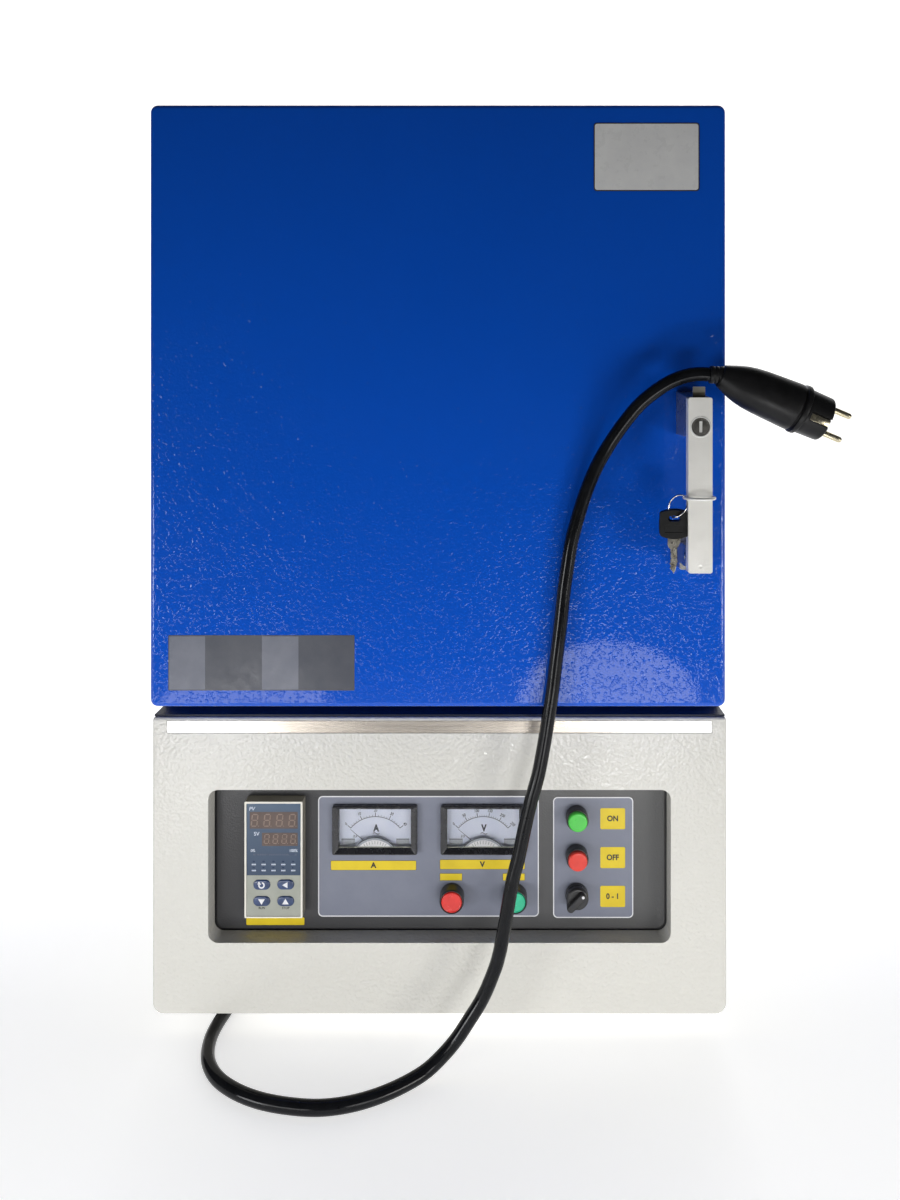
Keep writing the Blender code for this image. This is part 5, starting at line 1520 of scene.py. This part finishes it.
# wire ring round the lever, a small split ring, and two keys on it
ring_pts = [at(197.05, -66.2, 450.8) + Vector((math.cos(a), math.sin(a), 0)) * 11.1 * MM for a in [2 * math.pi * i / 64 for i in range(64)]]
finish_mesh("wire_ring", tube_bm(ring_pts, 1.15, sides=16, closed=True), RING_WIRE, "lever", replaces="key_ring", smooth=60)
small = [
    (184.6, -66.6, 452.7), (187.3, -67.6, 450.0), (187.6, -68.6, 446.0), (185.9, -69.3, 441.8), (182.6, -69.2, 438.6),
    (179.6, -67.6, 436.6), (177.4, -65.2, 436.3), (175.8, -63.9, 438.6), (175.0, -63.4, 442.4), (175.6, -63.8, 446.8),
    (178.2, -64.8, 450.6), (181.4, -65.6, 452.6),
]
loop_pts = smooth_route([at(*p) for p in small + small[:1]], 0.0006)[:-1]
finish_mesh("split_ring", tube_bm(loop_pts, 0.55, sides=10, closed=True), CHROME, "keys", smooth=60)


def key_outline(hole=False):
    head = []
    for i in range(17):  # top edge, bowed upwards, right to left
        u = i / 16
        head.append((187.2 - 20.6 * u, 441.0 + 1.8 * math.sin(math.pi * u)))
    head += [(166.7, 439.5), (166.3, 435), (166.2, 430), (166.5, 425.2), (167.3, 423.6)]
    for i in range(17):  # bottom edge, bowed downwards
        u = i / 16
        head.append((167.9 + 18.6 * u, 423.0 - 1.9 * math.sin(math.pi * u)))
    head += [(187.1, 423.8), (187.5, 426), (187.7, 431), (187.6, 437)]
    return head


def solid_plate(outline, y0, y1):
    return raw(plate_bm(list(reversed(outline)), y0, y1))


BLADE = new_material("key_nickel_silver", (0.5, 0.48, 0.43), 0.3, 1.0)
t, s = parts_of(BLADE)
vary(BLADE, (0.34, 0.31, 0.26), scale=160, amount=1.0, detail=5)
vary_rough(BLADE, 0.22, 0.4, scale=240)
bump(t, s, [(noise(t, 900, 4, 0.6, (1, 1, 0.3)), 0.15, 0.0001)])
KEY_PLASTIC = new_material("key_head_plastic", (0.005, 0.0053, 0.0056), 0.5, Specular_IOR_Level=0.25)
t, s = parts_of(KEY_PLASTIC)
vary(KEY_PLASTIC, (0.011, 0.0115, 0.012), scale=120, amount=0.9)
bump(t, s, [(noise(t, 1500, 3, 0.6), 0.2, 0.0001)])

BLADE_OUTLINE = [
    (172.6, 424), (181.4, 424), (181.2, 417.5), (180.0, 415.2), (178.7, 414.6), (178.6, 404.6), (179.0, 403.4), (178.5, 402.2), (178.0, 399.2),
    (176.9, 395.4), (175.9, 397.2), (173.9, 399.6), (174.9, 400.6), (174.4, 402.0), (173.8, 403.0), (174.9, 404.0), (174.2, 405.3),
    (175.2, 406.4), (174.5, 408.2), (174.9, 409.6), (174.4, 411.4), (174.6, 413.4), (173.0, 415.2), (172.4, 416.6),
]


def make_key(name, move, y_mid):
    o = solid_plate(key_outline(), -1.5, 1.5)
    boolean(o, [box_bm((172.8, -5, 434.4), (181.6, 5, 438.4), bevels=((along(1), 1.7, 4),))])
    recess = [(170.2, 426.2), (183.6, 426.2), (184.0, 431.6), (169.8, 431.6)]
    cut_a = plate_bm([(p, q) for p, q in recess], -3.0, -1.15)
    cut_b = plate_bm([(p, q) for p, q in recess], 1.15, 3.0)
    boolean(o, [cut_a, cut_b])
    o.data.transform(Matrix.Translation(Vector((0, y_mid, 0)) * MM))
    o.data.transform(move)
    adopt(o, name + "_head", KEY_PLASTIC, "keys", smooth=32, bevel=(0.55, 3, 40), weighted=True)
    b = solid_plate(BLADE_OUTLINE, -0.95, 0.95)
    boolean(b, [box_bm((176.6, -3, 399.5), (177.7, -0.45, 422)), box_bm((177.9, 0.45, 401.0), (178.8, 3, 421))])
    b.data.transform(Matrix.Translation(Vector((0, y_mid, 0)) * MM))
    b.data.transform(move)
    return adopt(b, name + "_blade", BLADE, "keys", smooth=32, bevel=(0.22, 2, 40), weighted=True)


def about(point, axis, deg):
    p = at(*point)
    return Matrix.Translation(p) @ Matrix.Rotation(math.radians(deg), 4, axis) @ Matrix.Translation(-p)


make_key("key_front", Matrix.Translation((1.0 * MM, 0, -1.0 * MM)), -66.2)
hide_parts("key")
make_key("key_rear", Matrix.Translation((2.8 * MM, 0, -0.8 * MM)) @ about((179, -59, 437), "Z", 4), -60.4)

# ===================================================================== hinges
HX, HY, HR = -234.2, 23.8, 5.6
for name, zc in (("lower", 345.0), ("upper", 690.0)):
    z0, z1, third = zc - 30, zc + 30, 20
    fixed = raw(box_bm((-236.9, 33, z0), (-235.3, 62, z1), bevels=((along(0), 2.5, 4),)))
    adds = [turned_bm([(0, 29), (2.4, 29), (2.4, -29), (0, -29)], stand((HX, HY, zc), "+z"), 32)]
    for a, b in ((z0, z0 + third - 0.4), (z1 - third + 0.4, z1)):
        adds.append(box_bm((-236.9, 24, a), (-235.3, 34, b)))
        h = (b - a) / 2
        adds.append(turned_bm([(0, h), (HR - 0.3, h), (HR, h - 0.3), (HR, -h + 0.3), (HR - 0.3, -h), (0, -h)], stand((HX, HY, (a + b) / 2), "+z"), 48))
    boolean(fixed, adds, "UNION")
    adopt(fixed, f"hinge_{name}_frame_leaf", STEEL, "base", replaces=f"hinge_{name}_fixed", smooth=35, bevel=(0.2, 2, 40))
    moving = raw(turned_bm([(0, 10), (HR - 0.3, 10), (HR, 9.7), (HR, -9.7), (HR - 0.3, -10), (0, -10)], stand((HX, HY, zc), "+z"), 48))
    boolean(moving, [box_bm((-232, 26.5, z0 + third), (-202, 28.2, z1 - third))], "UNION")
    boolean(moving, [turned_bm([(0, 40), (2.75, 40), (2.75, -40), (0, -40)], stand((HX, HY, zc), "+z"), 32)])
    adopt(moving, f"hinge_{name}_door_leaf", STEEL, "door", replaces=f"hinge_{name}_moving", smooth=35, bevel=(0.2, 2, 40))
    caps = []
    for end in (1, -1):
        at_end = stand((HX, HY, zc + end * 30), "+z") @ (Matrix.Identity(4) if end > 0 else Matrix.Rotation(math.pi, 4, "X"))
        caps.append(turned_bm(rounded([(0, 1.6), (2.2, 1.4), (3.4, 0.6), (3.5, 0.02), (0, 0.02)], 0.3, 2), at_end, 28))
    finish_mesh(f"hinge_{name}_pin_heads", merge(*caps), STEEL, "base", smooth=40)
    screws(f"hinge_{name}_screws", [(-236.9, 41, z0 + 9), (-236.9, 41, z1 - 9), (-236.9, 54, z0 + 9), (-236.9, 54, z1 - 9)], "-x", STEEL, "base", r=2.8, h=1.4)

# ============================================================ casing and chamber
for n in ("upper_shell", "front_frame"):
    dress(n, BLUE)
dress("insulation_chamber", CERAMIC)
dress("transformer", CORE)
dress("power_module", ALLOY)
dress("fan_frame", BLACK)
dress("fan_rotor", BLACK)
hearth = finish_mesh(
    "hearth_slab", box_bm((-86, 80, 432.3), (86, 340, 443), bevels=((along(2), 6, 5), (every, 1.4, 3))),
    HEARTH, "base", replaces="hearth_plate", smooth=40, weighted=True,
)
for side, name in ((-1, "heating_element_left"), (1, "heating_element_right")):
    x = side * 94.5
    route = []
    zs = [456 + 20 * i for i in range(6)]
    for i, z in enumerate(zs):
        ya, yb = (455, 92) if i == 0 else ((92, 318) if i % 2 else (318, 92))
        if i == len(zs) - 1:
            ya, yb = 92, 455
        for k in range(13):
            route.append((x, ya + (yb - ya) * k / 12, z))
        if i < len(zs) - 1:
            out = -1 if yb < 200 else 1
            for k in range(1, 12):
                a = math.pi * k / 12
                route.append((x, yb + out * 10.4 * math.sin(a), z + 10 - 10 * math.cos(a)))
    finish_mesh(name + "_rod", tube_bm([at(*p) for p in route], 3.1, sides=16), HEATER, "base", replaces=name, smooth=60)
tube_tc = turned_bm(rounded([(0, 90), (4.0, 90), (4.0, -88), (3.4, -89.5), (0, -90)], 1.2, 4), stand((0, 402, 572), "+y"), 28)
finish_mesh("thermocouple_sheath", tube_tc, HEARTH, "base", replaces="thermocouple", smooth=40)
finish_mesh(
    "thermocouple_head", box_bm((-16, 474, 556), (16, 508, 588), bevels=((along(1), 5, 4), (rim(1, -1), 1.2, 2), (rim(1, 1), 1.2, 2))),
    BLACK, "base", smooth=35, weighted=True,
)

# rear: a wire finger guard over the fan, and the panel's screws
guard = []
for r in (8, 15, 22, 29, 36):
    pts = [at(110 + r * math.cos(a), 522.2, 150 + r * math.sin(a)) for a in [2 * math.pi * i / 48 for i in range(48)]]
    guard.append(tube_bm(pts, 0.75, sides=8, closed=True))
for k in range(4):
    a = math.radians(45 + 90 * k)
    guard.append(tube_bm([at(110 + r * math.cos(a), 523.4 if r < 44 else 521.2, 150 + r * math.sin(a)) for r in (6, 20, 36, 44, 47)], 0.9, sides=8))
finish_mesh("fan_guard", merge(*guard), CHROME, "base", smooth=60)
screws("fan_guard_screws", [(110 + 47 * math.cos(math.radians(45 + 90 * k)), 520.0, 150 + 47 * math.sin(math.radians(45 + 90 * k))) for k in range(4)], "+y", STEEL, "base", r=3.4, h=2.4)
screws(
    "rear_screws",
    [(x, 520.0, z) for x in (-222, 0, 222) for z in (34, 250, 282, 748)] + [(x, 520.0, z) for x in (-222, 222) for z in (440, 600)],
    "+y", STEEL, "base", r=3.4, h=2.0,
)

# ======================================================= blank plates on the door
LABEL_DARK = ink("plate_dark_grey", (0.05, 0.055, 0.075), (0.07, 0.075, 0.095), 0.36, 0.08)
LABEL_MID = ink("plate_mid_grey", (0.13, 0.14, 0.18), (0.16, 0.17, 0.21), 0.36, 0.08)
LABEL_WHITE = ink("plate_white", (0.78, 0.78, 0.77), (0.72, 0.72, 0.72), 0.3, 0.05)
D = (736 - 25) / 900


def dx(px):
    return 41.3 + (px - 490) * D


def dz(py):
    return 531 + (390 - py) * D


def door_plate(name, p0, q0, p1, q1, mat, r=1.2, depth=0.22, lift=0.0):
    return finish_mesh(
        name, plate_bm(rounded_outline(dx(p0), dx(p1), dz(q1), dz(q0), r), -25 - lift - depth, -25 - lift + 0.02),
        mat, "door", smooth=None,
    )


door_plate("blank_plate_upper", 593.6, 122.6, 699.6, 191.2, BLACK_INK, 2.6, 0.14)
door_plate("blank_plate_upper_face", 594.8, 123.8, 698.4, 190.0, LABEL_WHITE, 2.0, 0.1, 0.12)
door_plate("blank_plate_lower", 168.3, 635.2, 354.5, 690.5, LABEL_DARK, 0.8, 0.14)
door_plate("blank_plate_lower_left", 169.3, 636.2, 205.2, 689.5, LABEL_MID, 0.5, 0.08, 0.12)
door_plate("blank_plate_lower_right", 262.0, 636.2, 298.5, 689.5, LABEL_MID, 0.5, 0.08, 0.12)

# ============================================================= studio and lights
FLOOR = bpy.data.materials.new("studio_white")
FLOOR.use_nodes = True
t, s = parts_of(FLOOR)
along_y = t.nodes.new("ShaderNodeSeparateXYZ")
t.links.new(coords(t), along_y.inputs[0])
fade = remap(t, along_y.outputs["Y"], -1.3, -0.55, 0.0, 1.0)
t.links.new(mix(t, fade, (0.22, 0.22, 0.22), (0.84, 0.84, 0.84)), s.inputs["Base Color"])
s.inputs["Roughness"].default_value = 0.75
s.inputs["Specular IOR Level"].default_value = 0.2
s.inputs["Emission Color"].default_value = (1, 1, 1, 1)
t.links.new(maths(t, "ADD", maths(t, "MULTIPLY", fade, 0.6), remap(t, along_y.outputs["Y"], -0.2, 0.4, 0.0, 0.35)), s.inputs["Emission Strength"])
sweep = bmesh.new()
rows = []
for y, z in [(-6.0, 0.0), (2.0, 0.0)] + [(2.0 + 1.5 * math.sin(a), 1.5 - 1.5 * math.cos(a)) for a in [math.pi / 2 * i / 16 for i in range(1, 17)]] + [(3.5, 6.0)]:
    rows.append([sweep.verts.new((x, y, z - 0.0002)) for x in (-6.0, 6.0)])
for a, b in zip(rows, rows[1:]):
    sweep.faces.new((a[0], a[1], b[1], b[0]))
mesh = bpy.data.meshes.new("studio_sweep")
sweep.to_mesh(mesh)
sweep.free()
mesh.shade_smooth()
mesh.materials.append(FLOOR)
sweep = bpy.data.objects.new("studio_sweep", mesh)
bpy.context.scene.collection.objects.link(sweep)
sweep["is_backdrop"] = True

# a pale room behind the sweep, dim where the paint mirrors it
world = bpy.data.worlds.new("studio")
bpy.context.scene.world = world
world.use_nodes = True
t = world.node_tree
dim = t.nodes["Background"]
dim.inputs["Color"].default_value = (0.95, 0.97, 1.0, 1)
dim.inputs["Strength"].default_value = 0.045
pale = t.nodes.new("ShaderNodeBackground")
pale.inputs["Color"].default_value = (0.9, 0.9, 0.9, 1)
rays = t.nodes.new("ShaderNodeLightPath")
pick = t.nodes.new("ShaderNodeMixShader")
t.links.new(rays.outputs["Is Camera Ray"], pick.inputs[0])
t.links.new(dim.outputs[0], pick.inputs[1])
t.links.new(pale.outputs[0], pick.inputs[2])
t.links.new(pick.outputs[0], t.nodes["World Output"].inputs["Surface"])

for name, where, look, size, power, spread, tint in (
    ("key_low_right", (1.0, -1.2, 0.1), (0.04, -0.26, 0.2), (0.5, 0.4), 1.3, 80, (1.0, 0.985, 0.95)),
    ("fill_low_left", (-1.1, -1.2, 0.14), (-0.04, -0.26, 0.2), (0.5, 0.4), 1.1, 80, (0.97, 0.985, 1.0)),
    ("glare_right", (0.205, -0.8, 0.09), (0.205, -0.266, 0.09), (0.252, 0.186), 0.5, 180, (1, 1, 1)),
    ("glare_left", (-0.297, -0.8, 0.088), (-0.297, -0.266, 0.088), (0.235, 0.135), 0.3, 180, (1, 1, 1)),
    ("spark_right", (0.205, -0.8, 0.079), (0.205, -0.266, 0.079), (0.24, 0.012), 0.4, 180, (1, 1, 1)),
    ("spark_left", (-0.297, -0.8, 0.079), (-0.297, -0.266, 0.079), (0.22, 0.012), 0.3, 180, (1, 1, 1)),
    ("sheen_left", (-0.33, -0.6, 0.066), (-0.2, -0.241, 0.2), (0.12, 0.12), 0.13, 180, (1, 1, 1)),
    ("top_soft", (0.1, 0.0, 2.4), (0.0, 0.0, 0.5), (1.6, 1.6), 0.3, 180, (1, 1, 1)),
    ("rear_soft", (0.6, 2.2, 1.6), (0.0, 0.2, 0.4), (1.4, 1.4), 9, 180, (1, 1, 1)),
):
    o = area_light(name, where, look, size[0], power, tint, size[1])
    o.data.shape = "ELLIPSE"
    o.data.spread = math.radians(spread)
    o.visible_camera = False

# ============================================================== sizes
lo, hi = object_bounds()
